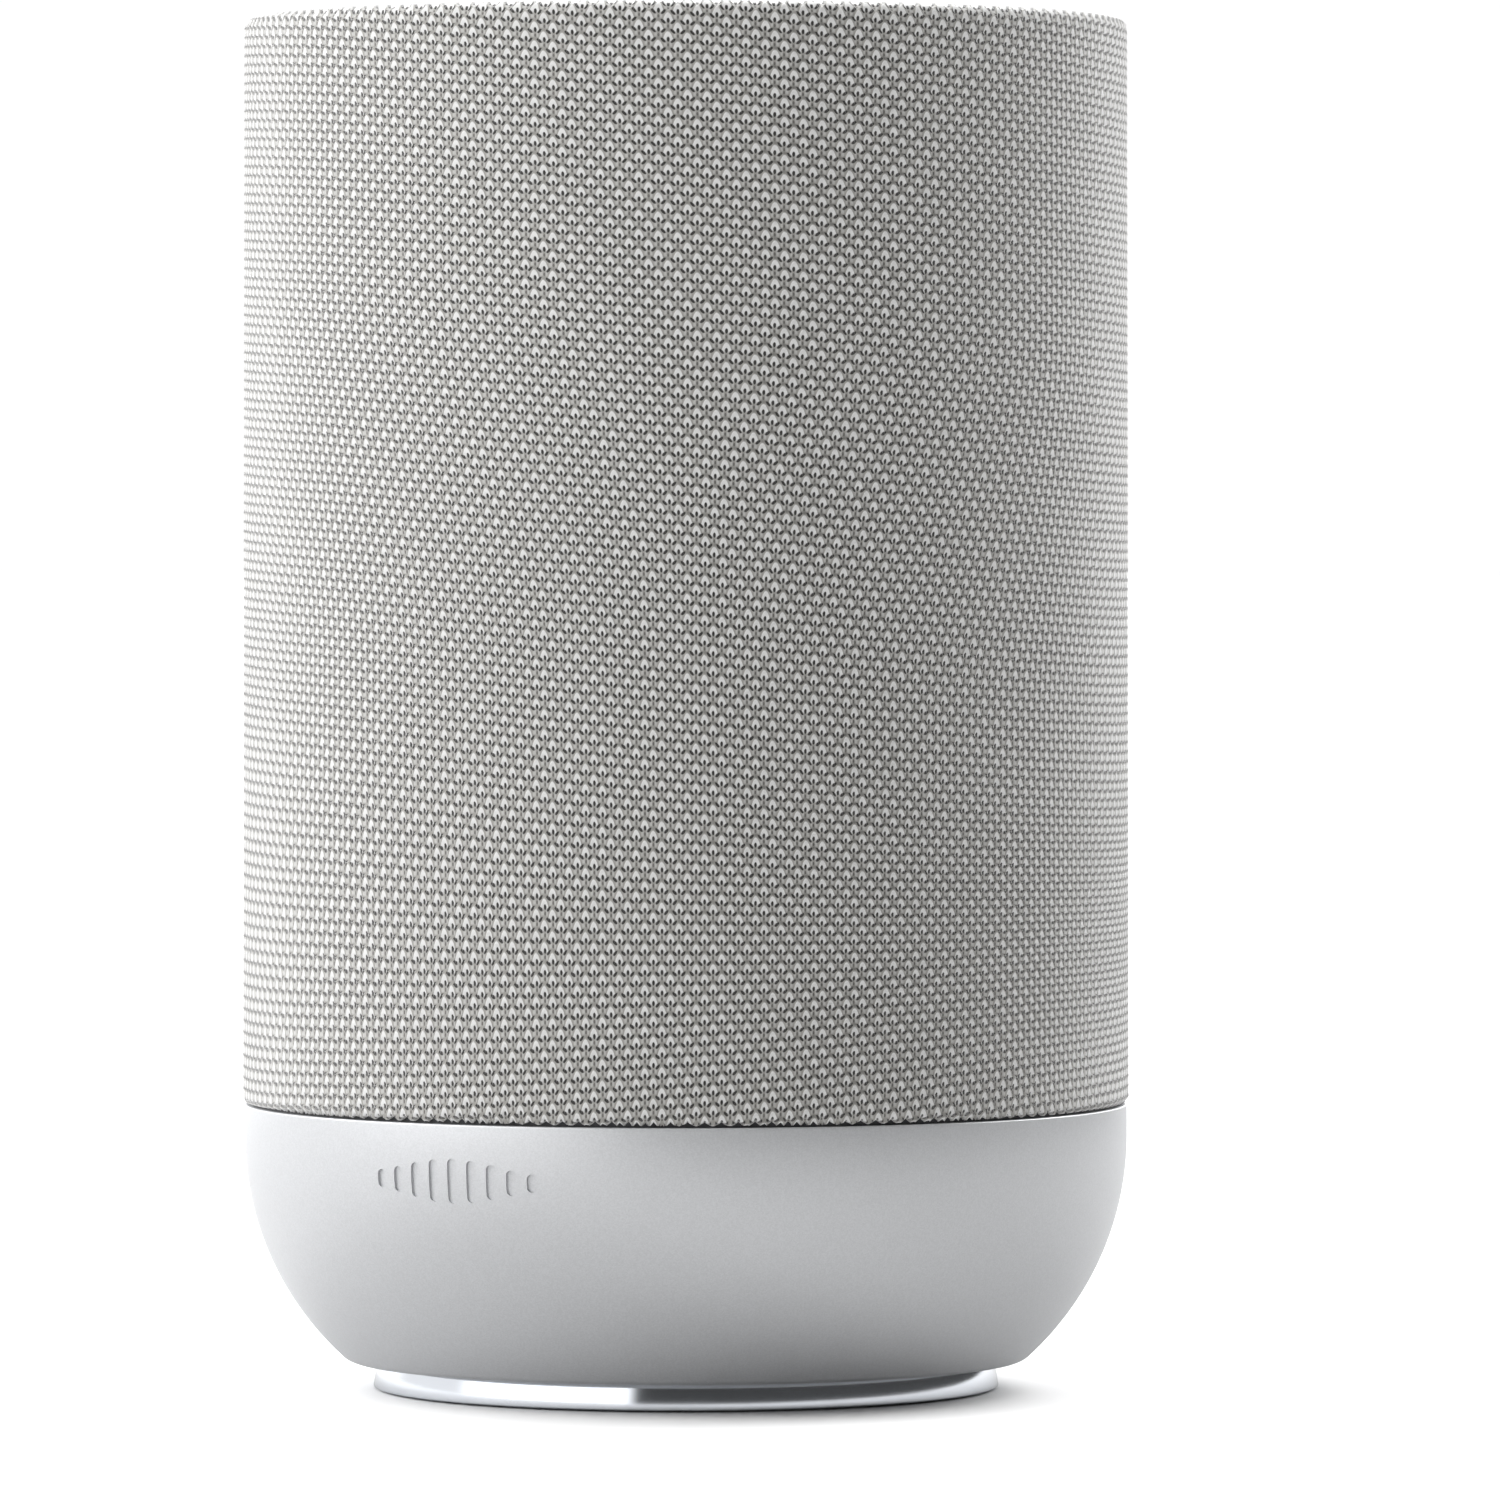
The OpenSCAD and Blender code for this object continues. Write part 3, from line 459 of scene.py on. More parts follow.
FINISHES = {
    "knit": SLEEVE_KNIT,
    "bowl_metal": BOWL_PAINT,
    "ring_metal": RING_POLISH,
    "trim_metal": TRIM_SATIN,
    "foot_rubber": Finish(
        "foot_rubber", (0.022, 0.022, 0.025), 0.82, grain=1200, depth=0.03 * MM, mottle=0.2),
    "black_plastic": Finish("black_plastic", (0.026, 0.027, 0.03), 0.52, mottle=0.12),
    "cabinet_plastic": Finish("cabinet_plastic", (0.05, 0.052, 0.056), 0.6, grain=900, mottle=0.18),
    "panel_gloss": Finish("panel_gloss", (0.045, 0.047, 0.052), 0.3, grain=3000, depth=0.004 * MM, coat=0.4),
    "light_diffuser": Finish("light_diffuser", (0.82, 0.84, 0.86), 0.35, grain=500, mottle=0.03, coat=0.2),
    "marks_white": Finish("marks_white", (0.82, 0.82, 0.8), 0.55, grain=4000, mottle=0.05),
    "button_plastic": Finish("button_plastic", (0.05, 0.052, 0.058), 0.45, grain=2600, mottle=0.1),
    "socket_plastic": Finish("socket_plastic", (0.016, 0.016, 0.018), 0.4, grain=2600, mottle=0.12),
    "plated_steel": Satin("plated_steel", (0.66, 0.67, 0.68), 0.28, 1.0, 2400.0, mottle=0.08),
    "brass": Turned("brass", (0.72, 0.53, 0.23), 0.3, 1.0, 3200.0, mottle=0.08),
    "circuit_board": Circuit("circuit_board", (0.018, 0.12, 0.055), 0.42),
    "power_circuit": Circuit("power_circuit", (0.2, 0.11, 0.035), 0.5),
    "sink_metal": Satin("sink_metal", (0.56, 0.57, 0.58), 0.4, 1.0, 1500.0, mottle=0.07),
    "magnet": Finish("magnet", (0.05, 0.05, 0.054), 0.7, 0.2, 700.0, 0.05 * MM, 0.25),
    "coil_copper": Drawn("coil_copper", (0.65, 0.26, 0.1), 0.35, 1.0, 4200.0, 0.05 * MM, 0.2),
    "cone_paper": Finish("cone_paper", (0.022, 0.022, 0.025), 0.85, grain=650, depth=0.08 * MM, mottle=0.35),
    "spider_cloth": Woven("spider_cloth", (0.5, 0.3, 0.1), 0.85, grain=5600.0, depth=0.08 * MM, mottle=0.3),
    "surround_rubber": Finish("surround_rubber", (0.018, 0.018, 0.02), 0.6, grain=1500, mottle=0.15),
    "dome_silk": Woven("dome_silk", (0.026, 0.026, 0.029), 0.55, grain=9000.0, depth=0.02 * MM, mottle=0.3),
    "cable_sheath": Drawn("cable_sheath", (0.28, 0.07, 0.05), 0.5, grain=600.0, depth=0.02 * MM),
    "flat_cable": Drawn("flat_cable", (0.76, 0.77, 0.79), 0.35, grain=1000.0, depth=0.03 * MM, mottle=0.12),
}


# ---------------------------------------------------------------------------------------------
# Modelling


@dataclass(frozen=True)
class Span:
    """How far a node that is round about the vertical axis reaches."""

    radius: float
    low: float
    high: float

    @staticmethod
    def of(node: str) -> "Span":
        """Measure a CAD node."""
        low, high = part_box(node)
        return Span((high.x - low.x) / 2, low.z, high.z)


def arc(x: float, z: float, radius: float, start: float, end: float, steps: int) -> Outline:
    """Return points along an arc round (x, z).

    Args:
        x: The centre's distance from the axis.
        z: The centre's height.
        radius: The arc's radius.
        start: Its first angle, in degrees.
        end: Its last angle, in degrees.
        steps: How many chords it has.

    Returns:
        The points, both ends included.
    """
    turns = (math.radians(start + (end - start) * i / steps) for i in range(steps + 1))
    return [(x + radius * math.cos(t), z + radius * math.sin(t)) for t in turns]


def deselect() -> None:
    """Leave nothing selected, so that an operator acts on the next primitive only."""
    bpy.ops.object.select_all(action="DESELECT")


def focus(piece: Piece) -> None:
    """Select one piece and make it the active one."""
    deselect()
    piece.select_set(True)
    bpy.context.view_layer.objects.active = piece


def started(name: str) -> Piece:
    """Name the primitive that was just added and open it in edit mode, to be worked on by its points."""
    piece = bpy.context.active_object
    piece.name = name
    piece.data.name = name
    bpy.ops.object.mode_set(mode="EDIT")
    bpy.ops.mesh.select_mode(type="VERT")
    return piece


def pick(piece: Piece, test: Callable[[Vector], bool]) -> None:
    """Select the points of a piece in edit mode that pass a test, and nothing else."""
    bpy.ops.mesh.select_mode(type="VERT")
    bpy.ops.mesh.select_all(action="DESELECT")
    shape = bmesh.from_edit_mesh(piece.data)
    for vertex in shape.verts:
        vertex.select = test(vertex.co)
    shape.select_flush(True)
    bmesh.update_edit_mesh(piece.data)


def closed_up() -> None:
    """Merge doubles, turn all faces outwards and leave edit mode."""
    bpy.ops.mesh.select_all(action="SELECT")
    bpy.ops.mesh.remove_doubles(threshold=MERGE)
    bpy.ops.mesh.normals_make_consistent(inside=False)
    bpy.ops.object.mode_set(mode="OBJECT")


def smooth(piece: Piece, angle: float = 32.0) -> Piece:
    """Shade a piece smooth, with edges sharper than an angle left crisp."""
    focus(piece)
    bpy.ops.object.shade_smooth_by_angle(angle=math.radians(angle))
    return piece


def lathe(name: str, outline: Outline, steps: int = 96) -> Piece:
    """Turn an outline round the vertical axis.

    Args:
        name: The piece's name.
        outline: Distances from the axis and heights. It is closed unless both its ends are on the axis.
        steps: How many flats go round.

    Returns:
        The closed solid.
    """
    deselect()
    bpy.ops.mesh.primitive_plane_add(size=MM)
    piece = started(name)
    bpy.ops.mesh.merge(type="CENTER")
    bpy.ops.transform.translate(value=(outline[0][0], 0, outline[0][1]))
    on_axis = outline[0][0] < MERGE and outline[-1][0] < MERGE
    path = outline if on_axis else [*outline, outline[0]]
    for (r0, z0), (r1, z1) in zip(path, path[1:]):
        bpy.ops.mesh.extrude_vertices_move(TRANSFORM_OT_translate={"value": (r1 - r0, 0, z1 - z0)})
    bpy.ops.mesh.select_all(action="SELECT")
    bpy.ops.mesh.remove_doubles(threshold=MERGE)
    bpy.ops.mesh.spin(steps=steps, angle=FULL_TURN, center=(0, 0, 0), axis=(0, 0, 1))
    closed_up()
    return smooth(piece)


def rod(name: str, radius: float, low: float, high: float, steps: int) -> Piece:
    """Turn a round upright cutter.

    Args:
        name: Its name.
        radius: Its radius.
        low: The height of its lower end.
        high: The height of its upper end.
        steps: How many flats go round.

    Returns:
        The cutter.
    """
    return lathe(name, [(0.0, low), (radius, low), (radius, high), (0.0, high)], steps)


def placed(piece: Piece, matrix: Matrix) -> Piece:
    """Move and turn a piece, and put its place into its mesh."""
    focus(piece)
    piece.matrix_world = matrix
    bpy.ops.object.transform_apply(location=True, rotation=True, scale=True)
    return piece


def modified(piece: Piece, kind: str, **settings: object) -> Piece:
    """Add a modifier to a piece and apply it.

    Args:
        piece: The piece.
        kind: The modifier's type.
        settings: Its properties.

    Returns:
        The piece.
    """
    focus(piece)
    modifier = piece.modifiers.new(kind.lower(), kind)
    for name, value in settings.items():
        setattr(modifier, name, value)
    bpy.ops.object.modifier_apply(modifier=modifier.name)
    return piece


def cut(piece: Piece, *cutters: Piece) -> Piece:
    """Take cutters away from a piece, and delete them."""
    for cutter in cutters:
        modified(piece, "BOOLEAN", operation="DIFFERENCE", object=cutter, solver="EXACT")
        bpy.data.objects.remove(cutter)
    return piece


def joined(name: str, pieces: list[Piece]) -> Piece:
    """Join pieces into one, and name it."""
    focus(pieces[0])
    for piece in pieces:
        piece.select_set(True)
    bpy.ops.object.join()
    pieces[0].name = name
    pieces[0].data.name = name
    return pieces[0]


def capsule(name: str, width: float, height: float, depth: float) -> Piece:
    """Make an upright rounded bar that goes from y = 0 to y = depth.

    Args:
        name: The piece's name.
        width: Its width.
        height: Its whole height.
        depth: How far it goes back.

    Returns:
        The bar, centred on the Y axis.
    """
    deselect()
    bpy.ops.mesh.primitive_circle_add(
        vertices=24, radius=width / 2, fill_type="NGON", rotation=(math.pi / 2, 0, 0))
    bpy.ops.object.transform_apply(location=True, rotation=True, scale=True)
    piece = started(name)
    for side in (-1, 1):
        pick(piece, lambda point: side * point.z > MERGE)
        bpy.ops.transform.translate(value=(0, 0, side * (height - width) / 2))
    bpy.ops.mesh.select_all(action="SELECT")
    bpy.ops.mesh.extrude_region_move(TRANSFORM_OT_translate={"value": (0, depth, 0)})
    closed_up()
    return piece


def rounded_block(name: str, low: Vector, high: Vector, corner: float, along: str = "Y") -> Piece:
    """Make a block whose edges along one axis are rounded.

    Args:
        name: The piece's name.
        low: Its lowest corner.
        high: Its highest corner.
        corner: The radius of its rounded edges.
        along: The axis that the rounded edges follow.

    Returns:
        The block.
    """
    deselect()
    bpy.ops.mesh.primitive_cube_add(size=1, location=(low + high) / 2, scale=high - low)
    bpy.ops.object.transform_apply(location=True, rotation=True, scale=True)
    piece = started(name)
    bpy.ops.mesh.select_mode(type="EDGE")
    bpy.ops.mesh.select_all(action="DESELECT")
    shape = bmesh.from_edit_mesh(piece.data)
    axis = "XYZ".index(along)
    for edge in shape.edges:
        edge.select = abs((edge.verts[0].co - edge.verts[1].co)[axis]) > MERGE
    bmesh.update_edit_mesh(piece.data)
    bpy.ops.mesh.bevel(offset=corner, segments=6)
    closed_up()
    return smooth(piece)


def laid(name: str, width: float, thickness: float, legs: list[tuple[float, float]], bend: float) -> Piece:
    """Lay a lead or a flat cable that starts upwards from the origin and bends in the YZ plane.

    Args:
        name: The piece's name.
        width: Its width along X.
        thickness: Its thickness.
        legs: For each leg its straight length, and the angle in degrees by which it then turns towards -Y.
        bend: The radius of its bends.

    Returns:
        The cable, closed at both ends.
    """
    deselect()
    bpy.ops.mesh.primitive_circle_add(vertices=16, radius=thickness / 2, fill_type="NGON")
    piece = started(name)
    for side in (-1, 1):
        pick(piece, lambda point: side * point.x > MERGE)
        bpy.ops.transform.translate(value=(side * (width - thickness) / 2, 0, 0))
    bpy.ops.mesh.select_all(action="SELECT")
    at, heading = Vector((0, 0, 0)), 0.0
    for length, angle in legs:
        ahead = Vector((0, -math.sin(heading), math.cos(heading)))
        bpy.ops.mesh.extrude_region_move(TRANSFORM_OT_translate={"value": ahead * length})
        at += ahead * length
        if angle:
            turn = math.radians(angle)
            hub = at + math.copysign(bend, turn) * Vector((0, -math.cos(heading), -math.sin(heading)))
            bpy.ops.mesh.spin(steps=8, angle=-turn, center=hub, axis=(1, 0, 0))
            at = hub + Matrix.Rotation(turn, 3, "X") @ (at - hub)
            heading += turn
    closed_up()
    return smooth(piece, 50.0)


def dressed(piece: Piece, slot: str, body: Body, *nodes: str) -> Piece:
    """Give a finished piece its finish, its body and the nodes that it stands for.

    Args:
        piece: The piece.
        slot: The record's material slot.
        body: The body that it rides on.
        nodes: The CAD nodes that it replaces.

    Returns:
        The piece.
    """
    piece.data.materials.clear()
    piece.data.materials.append(FINISHES[slot].build())
    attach(piece, body.value)
    if nodes:
        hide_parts(*nodes)
    LOG.info("%s: %d faces, %s, on %s", piece.name, len(piece.data.polygons), slot, body.value)
    return piece


# ---------------------------------------------------------------------------------------------
# Sub-assemblies


@dataclass
class Sleeve:
    """The knitted sleeve, pulled over the perforated tube and tucked in at both ends.

    Attributes:
        span: The reach of the sleeve's solid.
        opening: The radius of its upper edge, beside the clamp ring.
        columns: How many loops go round.
        course: The height of one row of loops, in widths of a loop.
        stretch: How much taller than the mean its lowest rows are, and how much lower its highest ones.
        widening: How much wider than the mean the loops are at the front of the top.
        narrowing: How much narrower they are at the front of the lower half.
        shoulder: The rounding of its upper end.
        draft: How much narrower it is at the shoulder than at the hem.
        relief: How far the loops stand out from the middle of the cloth.
        hem: The rounding of its lower end.
        slant: How far the rows climb or fall across the sleeve, as a slope.
        facing: The direction, in degrees round from the front, that the slant is level about.
        settling: The height above the hem over which the slant turns round.
        counter: How far the rows slant the other way at the hem, as a share of the slant.
        wide_from: How far down the widening has ended, as a share of the sleeve's length.
        wide_over: The share of the length over which it fades in from there up.
        lift: How far the end of the cloth lies above the solid's lower end.
        tuck: How far the cloth goes in under its hem.
    """

    span: Span = field(default_factory=lambda: Span.of("fabric_sleeve"))
    opening: float = field(default_factory=lambda: Span.of("top_ring").radius + 0.3 * MM)
    columns: int = 162
    course: float = SLEEVE_KNIT.course
    stretch: float = 0.045
    widening: float = 0.10
    narrowing: float = 0.04
    shoulder: float = 1.8 * MM
    draft: float = 0.4 * MM
    relief: float = 0.3 * MM
    hem: float = 0.5 * MM
    slant: float = 0.087
    facing: float = 30.9
    settling: float = 60 * MM
    counter: float = 0.7
    wide_from: float = 0.62
    wide_over: float = 0.35
    lift: float = 0.15 * MM
    tuck: float = 0.3 * MM

    # One loop's corners, across and down in loop widths and out in shares of the relief: its tip, its left
    # and right shoulders, the hollow under it, and the valley to its right
    CORNERS = ((0, 0.06, 1), (-0.2, 0.36, 0.83), (0.2, 0.36, 0.83), (0, 0.42, -1), (0.5, 0.47, -1.15))
    # One loop's triangles: which corner, and whose it is: 0 its own, 1 of the loop at the lower right, 2 of
    # the one at the lower left, 3 of the one to its left
    TRIANGLES = (
        ((0, 0), (1, 0), (3, 0)), ((0, 0), (3, 0), (2, 0)), ((1, 0), (0, 2), (3, 0)),
        ((3, 0), (0, 2), (2, 2)), ((3, 0), (2, 2), (4, 2)), ((2, 0), (0, 1), (3, 0)),
        ((3, 0), (0, 1), (1, 1)), ((3, 0), (1, 1), (4, 2)), ((1, 0), (4, 3), (0, 2)),
        ((2, 0), (4, 0), (0, 1)),
    )

    @property
    def pitch(self) -> float:
        """The width of a loop."""
        return FULL_TURN * self.span.radius / self.columns

    def outline(self) -> np.ndarray:
        """Return the middle of the cloth from its upper edge to the end of its hem, as radius and height."""
        wide = self.span.radius - self.relief
        top = self.span.high - self.relief
        bend = self.shoulder - self.relief
        bottom = self.span.low + self.lift
        points = [(self.opening, top)]
        points += arc(wide - self.draft - bend, top - bend, bend, 90, 0, 16)
        points += arc(wide - self.hem, bottom + self.hem, self.hem, 0, -90, 6)
        points += [(wide - self.hem - self.tuck, bottom)]
        return np.array(points)

    def lattice(self, rows: int) -> tuple[np.ndarray, np.ndarray]:
        """Lay the loops out flat.

        Args:
            rows: How many rows there are between the sleeve's two ends.

        Returns:
            Every corner's place across, down and out, with the first two in loop widths, and the triangles.
        """
        spare = 6
        k = np.arange(-spare, rows + spare)[:, None, None]
        c = np.arange(-1, self.columns + 1)[None, :, None]
        corners = np.array(self.CORNERS)
        across = c + 0.5 * (k % 2) + corners[:, 0]
        down = self.course * k + corners[:, 1] + 0 * c
        out = corners[:, 2] + 0 * (k + c)
        points = np.stack([across, down, out], -1).reshape(-1, 3)
        row = np.arange(len(k) - 1)[:, None]
        col = np.arange(1, self.columns + 1)[None, :]
        odd = (row - spare) % 2
        owners = ((row, col), (row + 1, col + odd), (row + 1, col - 1 + odd), (row, col - 1))
        width = c.shape[1]
        firsts = [(owner_row * width + owner_col) * len(corners) for owner_row, owner_col in owners]
        faces = [
            np.stack([(firsts[owner] + corner).ravel() for corner, owner in triangle], -1)
            for triangle in self.TRIANGLES
        ]
        return points, np.concatenate(faces)

    def pulled(self, across: np.ndarray, down: np.ndarray, length: float) -> tuple[np.ndarray, np.ndarray]:
        """Stretch the flat cloth as it is pulled over the tube: askew, and unevenly from top to bottom.

        Args:
            across: Each point's place across, in loop widths.
            down: Its place down, as a share of the sleeve's length.
            length: The sleeve's length along the cloth.

        Returns:
            Each point's angle round the sleeve, and how far down it lies.
        """
        turn = FULL_TURN * across / self.columns + math.radians(90 - self.facing)
        depth = length * down * (1 - self.stretch + self.stretch * down)
        low = np.clip((length - depth) / self.settling, 0, 1)
        slope = self.slant * ((1 + self.counter) * low * low * (3 - 2 * low) - self.counter)
        high = np.clip((self.wide_from * length - depth) / (self.wide_over * length), 0, 1)
        spread = (self.widening + self.narrowing) * high * high * (3 - 2 * high) - self.narrowing
        angle = FULL_TURN * across / self.columns + spread * np.cos(turn)
        return angle, depth + slope * self.span.radius * np.cos(turn)

    def build(self) -> None:
        """Knit the sleeve flat, trim it level, roll it up and dress it."""
        line = self.outline()
        steps = np.hypot(*np.diff(line, axis=0).T)
        lengths = np.concatenate([[0], np.cumsum(steps)])
        length = lengths[-1]
        rows = length / (self.course * self.pitch)
        flat, faces = self.lattice(math.ceil(rows))
        sides = flat[faces][:, :, :2]
        first, second = sides[:, 1] - sides[:, 0], sides[:, 2] - sides[:, 0]
        wrong = first[:, 0] * second[:, 1] - first[:, 1] * second[:, 0] > 0
        faces[wrong] = faces[wrong][:, ::-1]

        mesh = bpy.data.meshes.new("knitted_sleeve")
        angle, depth = self.pulled(flat[:, 0], flat[:, 1] / (rows * self.course), length)
        mesh.from_pydata(np.stack([angle * self.span.radius, depth, flat[:, 2] * self.relief], -1), [], faces)
        loops = np.zeros(len(mesh.loops), int)
        mesh.loops.foreach_get("vertex_index", loops)
        mesh.uv_layers.new(name="knit").data.foreach_set("uv", flat[loops][:, :2].ravel())

        cloth = bmesh.new()
        cloth.from_mesh(mesh)
        for edge, out in ((0.0, -1), (length, 1)):
            everything = [*cloth.verts, *cloth.edges, *cloth.faces]
            bmesh.ops.bisect_plane(
                cloth, geom=everything, dist=MERGE, plane_co=(0, edge, 0), plane_no=(0, out, 0),
                clear_outer=True)
        cloth.to_mesh(mesh)
        cloth.free()

        points = np.zeros(len(mesh.vertices) * 3)
        mesh.vertices.foreach_get("co", points)
        across, down, out = points.reshape(-1, 3).T
        slopes = np.gradient(line, lengths, axis=0)
        radius, height, dr, dz = (np.interp(down, lengths, row) for row in (*line.T, *slopes.T))
        size = np.hypot(dr, dz)
        radius = radius - out * dz / size
        height = height + out * dr / size
        turn = across / self.span.radius + math.pi / 2
        rolled = np.stack([radius * np.cos(turn), radius * np.sin(turn), height], -1)
        mesh.vertices.foreach_set("co", rolled.ravel())

        cloth = bmesh.new()
        cloth.from_mesh(mesh)
        bmesh.ops.remove_doubles(cloth, verts=cloth.verts, dist=MERGE)
        cloth.to_mesh(mesh)
        cloth.free()
        mesh.shade_smooth()
        piece = bpy.data.objects.new("knitted_sleeve", mesh)
        bpy.context.scene.collection.objects.link(piece)
        dressed(piece, "knit", Body.HOUSING, "fabric_sleeve")


@dataclass(frozen=True)
class Posts:
    """A set of like screw posts inside the bowl.

    Attributes:
        reach: Their distance from the axis.
        turns: Their directions from the axis, in degrees.
        radius: Their radius.
        foot: The height at which they start.
        top: The height of their faces.
        bore: The height at which their bores start.
    """

    reach: float
    turns: tuple[float, ...]
    radius: float
    foot: float
    top: float
    bore: float


@dataclass
class Bowl:
    """The metal bowl, with its level-bar mark and its window for the ports.

    Attributes:
        span: The reach of the bowl's solid.
        side: The radius of its curved side.
        belly: The height of its widest line.
        fillet: The rounding of its lower edge.
        wall: Its thickness.
        rim: The rounding of its rim.
        bars: How many bars the mark has.
        bar_pitch: The distance between the bars.
        bar_width: The width of a bar.
        bar_low: The height that the shortest bar tends to.
        bar_high: The height of the tallest bar.
        bar_depth: How deep the bars are pressed.
        mark_height: The height of the mark's middle.
        corner: The rounding of the window's corners.
        pilot: The radius of the bores for screws.
        bore_top: The height to which the bores' cutters reach.
        insert: The radius of the bore for the threaded insert.
        insert_top: The height to which that bore's cutter reaches.
        chamfer: The chamfer on the posts' tops.
        plate_posts: The posts for the bottom plate.
        board_posts: The posts for the power board.
        chassis_posts: The posts for the chassis.
    """

    span: Span = field(default_factory=lambda: Span.of("base_shell"))
    side: float = 47 * MM
    belly: float = 40 * MM
    fillet: float = 2.8 * MM
    wall: float = 2.4 * MM
    rim: float = 0.3 * MM
    bars: int = 9
    bar_pitch: float = 3.4 * MM
    bar_width: float = 1.7 * MM
    bar_low: float = 2.4 * MM
    bar_high: float = 6.9 * MM
    bar_depth: float = 0.4 * MM
    mark_height: float = 36.3 * MM
    corner: float = 2.6 * MM
    pilot: float = 1.45 * MM
    bore_top: float = 50 * MM
    insert: float = 4.1 * MM
    insert_top: float = 12 * MM
    chamfer: float = 0.4 * MM
    plate_posts: Posts = Posts(30 * MM, (0, 90, 180, 270), 4 * MM, 5 * MM, 11.5 * MM, 4 * MM)
    board_posts: Posts = Posts(
        42.94 * MM, (27.76, 152.24, 207.76, 332.24), 4 * MM, 5 * MM, 12 * MM, 6.9 * MM)
    chassis_posts: Posts = Posts(63 * MM, (45, 135, 225, 315), 5 * MM, 23 * MM, 44.9 * MM, 33 * MM)

    def side_curve(self, inset: float, steps: int) -> Outline:
        """Return the bowl's side from its flat underside to its widest line, moved inwards by inset."""
        radius = self.side - inset
        fillet = max(self.fillet - inset, 0.3 * MM)
        centre = self.span.radius - self.side
        low = self.span.low + inset
        turn = math.degrees(math.asin((self.belly - low - fillet) / (radius - fillet)))
        inner = (radius - fillet) * math.cos(math.radians(turn))
        bend = arc(centre + inner, low + fillet, fillet, -90, -turn, 8)
        return [(0.0, low), *bend, *arc(centre, self.belly, radius, -turn, 0, steps)[1:]]

    def bar(self, i: int) -> Piece:
        """Return the cutter of bar i, counted from the middle, set on the bowl's side."""
        share = math.cos(math.pi * i / (self.bars + 1)) ** 2
        height = self.bar_low + (self.bar_high - self.bar_low) * share
        cutter = capsule(f"bar_cutter_{i}", self.bar_width, height, 3 * MM)
        drop = math.asin((self.mark_height - self.belly) / self.side)
        reach = self.span.radius - self.side + self.side * math.cos(drop)
        set_in = Matrix.Translation((0, self.bar_depth - 3 * MM, 0))
        tilt = Matrix.Rotation(-drop, 4, "X")
        out = Matrix.Translation((0, -reach, self.mark_height))
        round_it = Matrix.Rotation(i * self.bar_pitch / reach, 4, "Z")
        return placed(cutter, round_it @ out @ tilt @ set_in)

    def raise_posts(self, bowl: Piece) -> None:
        """Add the screw posts inside the bowl, and bore them and the hole for the threaded insert."""
        posts, bores = [], []
        # A bore is turned a little, so that its flats don't line up with the post's and leave loose edges
        off_line = Matrix.Rotation(0.1, 4, "Z")
        for group in (self.plate_posts, self.board_posts, self.chassis_posts):
            outline = [
                (0.0, group.foot), (group.radius, group.foot), (group.radius, group.top - self.chamfer),
                (group.radius - self.chamfer, group.top), (0.0, group.top),
            ]
            for turn in group.turns:
                stand = Matrix.Rotation(math.radians(turn), 4, "Z") @ Matrix.Translation((group.reach, 0, 0))
                posts.append(placed(lathe("post", outline, 32), stand))
                bore = rod("bore", self.pilot, group.bore, self.bore_top, 16)
                bores.append(placed(bore, stand @ off_line))
        inside = lathe("inside", [*self.side_curve(self.wall / 2, 24), (0.0, self.belly)], 96)
        upper = rod("upper_inside", self.span.radius - self.wall / 2, self.belly - MM, self.span.high, 96)
        modified(inside, "BOOLEAN", operation="UNION", solver="EXACT", object=upper)
        raised = joined("posts", posts)
        modified(raised, "BOOLEAN", operation="INTERSECT", solver="EXACT", object=inside)
        modified(bowl, "BOOLEAN", operation="UNION", solver="EXACT", object=raised)
        for used in (inside, raised, upper):
            bpy.data.objects.remove(used)
        cut(bowl, rod("hole", self.insert, 0.0, self.insert_top, 48), *bores)

    def build(self) -> None:
        """Turn the shell, raise its posts, cut the window, press the mark and dress it."""
        outer = self.side_curve(0.0, 40)[:-1]
        inner = self.side_curve(self.wall, 24)
        edge, back = self.span.radius, self.span.radius - self.wall
        rim = arc(edge - self.rim, self.span.high - self.rim, self.rim, 0, 90, 4)
        rim += arc(back + self.rim, self.span.high - self.rim, self.rim, 90, 180, 4)
        bowl = lathe("metal_bowl", [*outer, (edge, self.belly), *rim, *reversed(inner)], 192)
        half = (self.bars - 1) // 2
        marks = joined("mark_cutter", [self.bar(i) for i in range(-half, half + 1)])
        low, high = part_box("port_panel")
        gap = Vector((0.2, 0, 0.2)) * MM
        inside, beyond = low.y - 8 * MM, self.span.radius + 30 * MM
        window = rounded_block(
            "window_cutter", Vector((low.x, inside, low.z)) - gap, Vector((high.x, beyond, high.z)) + gap,
            self.corner)
        self.raise_posts(bowl)
        cut(bowl, marks, window)
        bpy.ops.object.mode_set(mode="EDIT")
        closed_up()
        smooth(bowl, 25.0)
        dressed(bowl, "bowl_metal", Body.HOUSING, "base_shell")


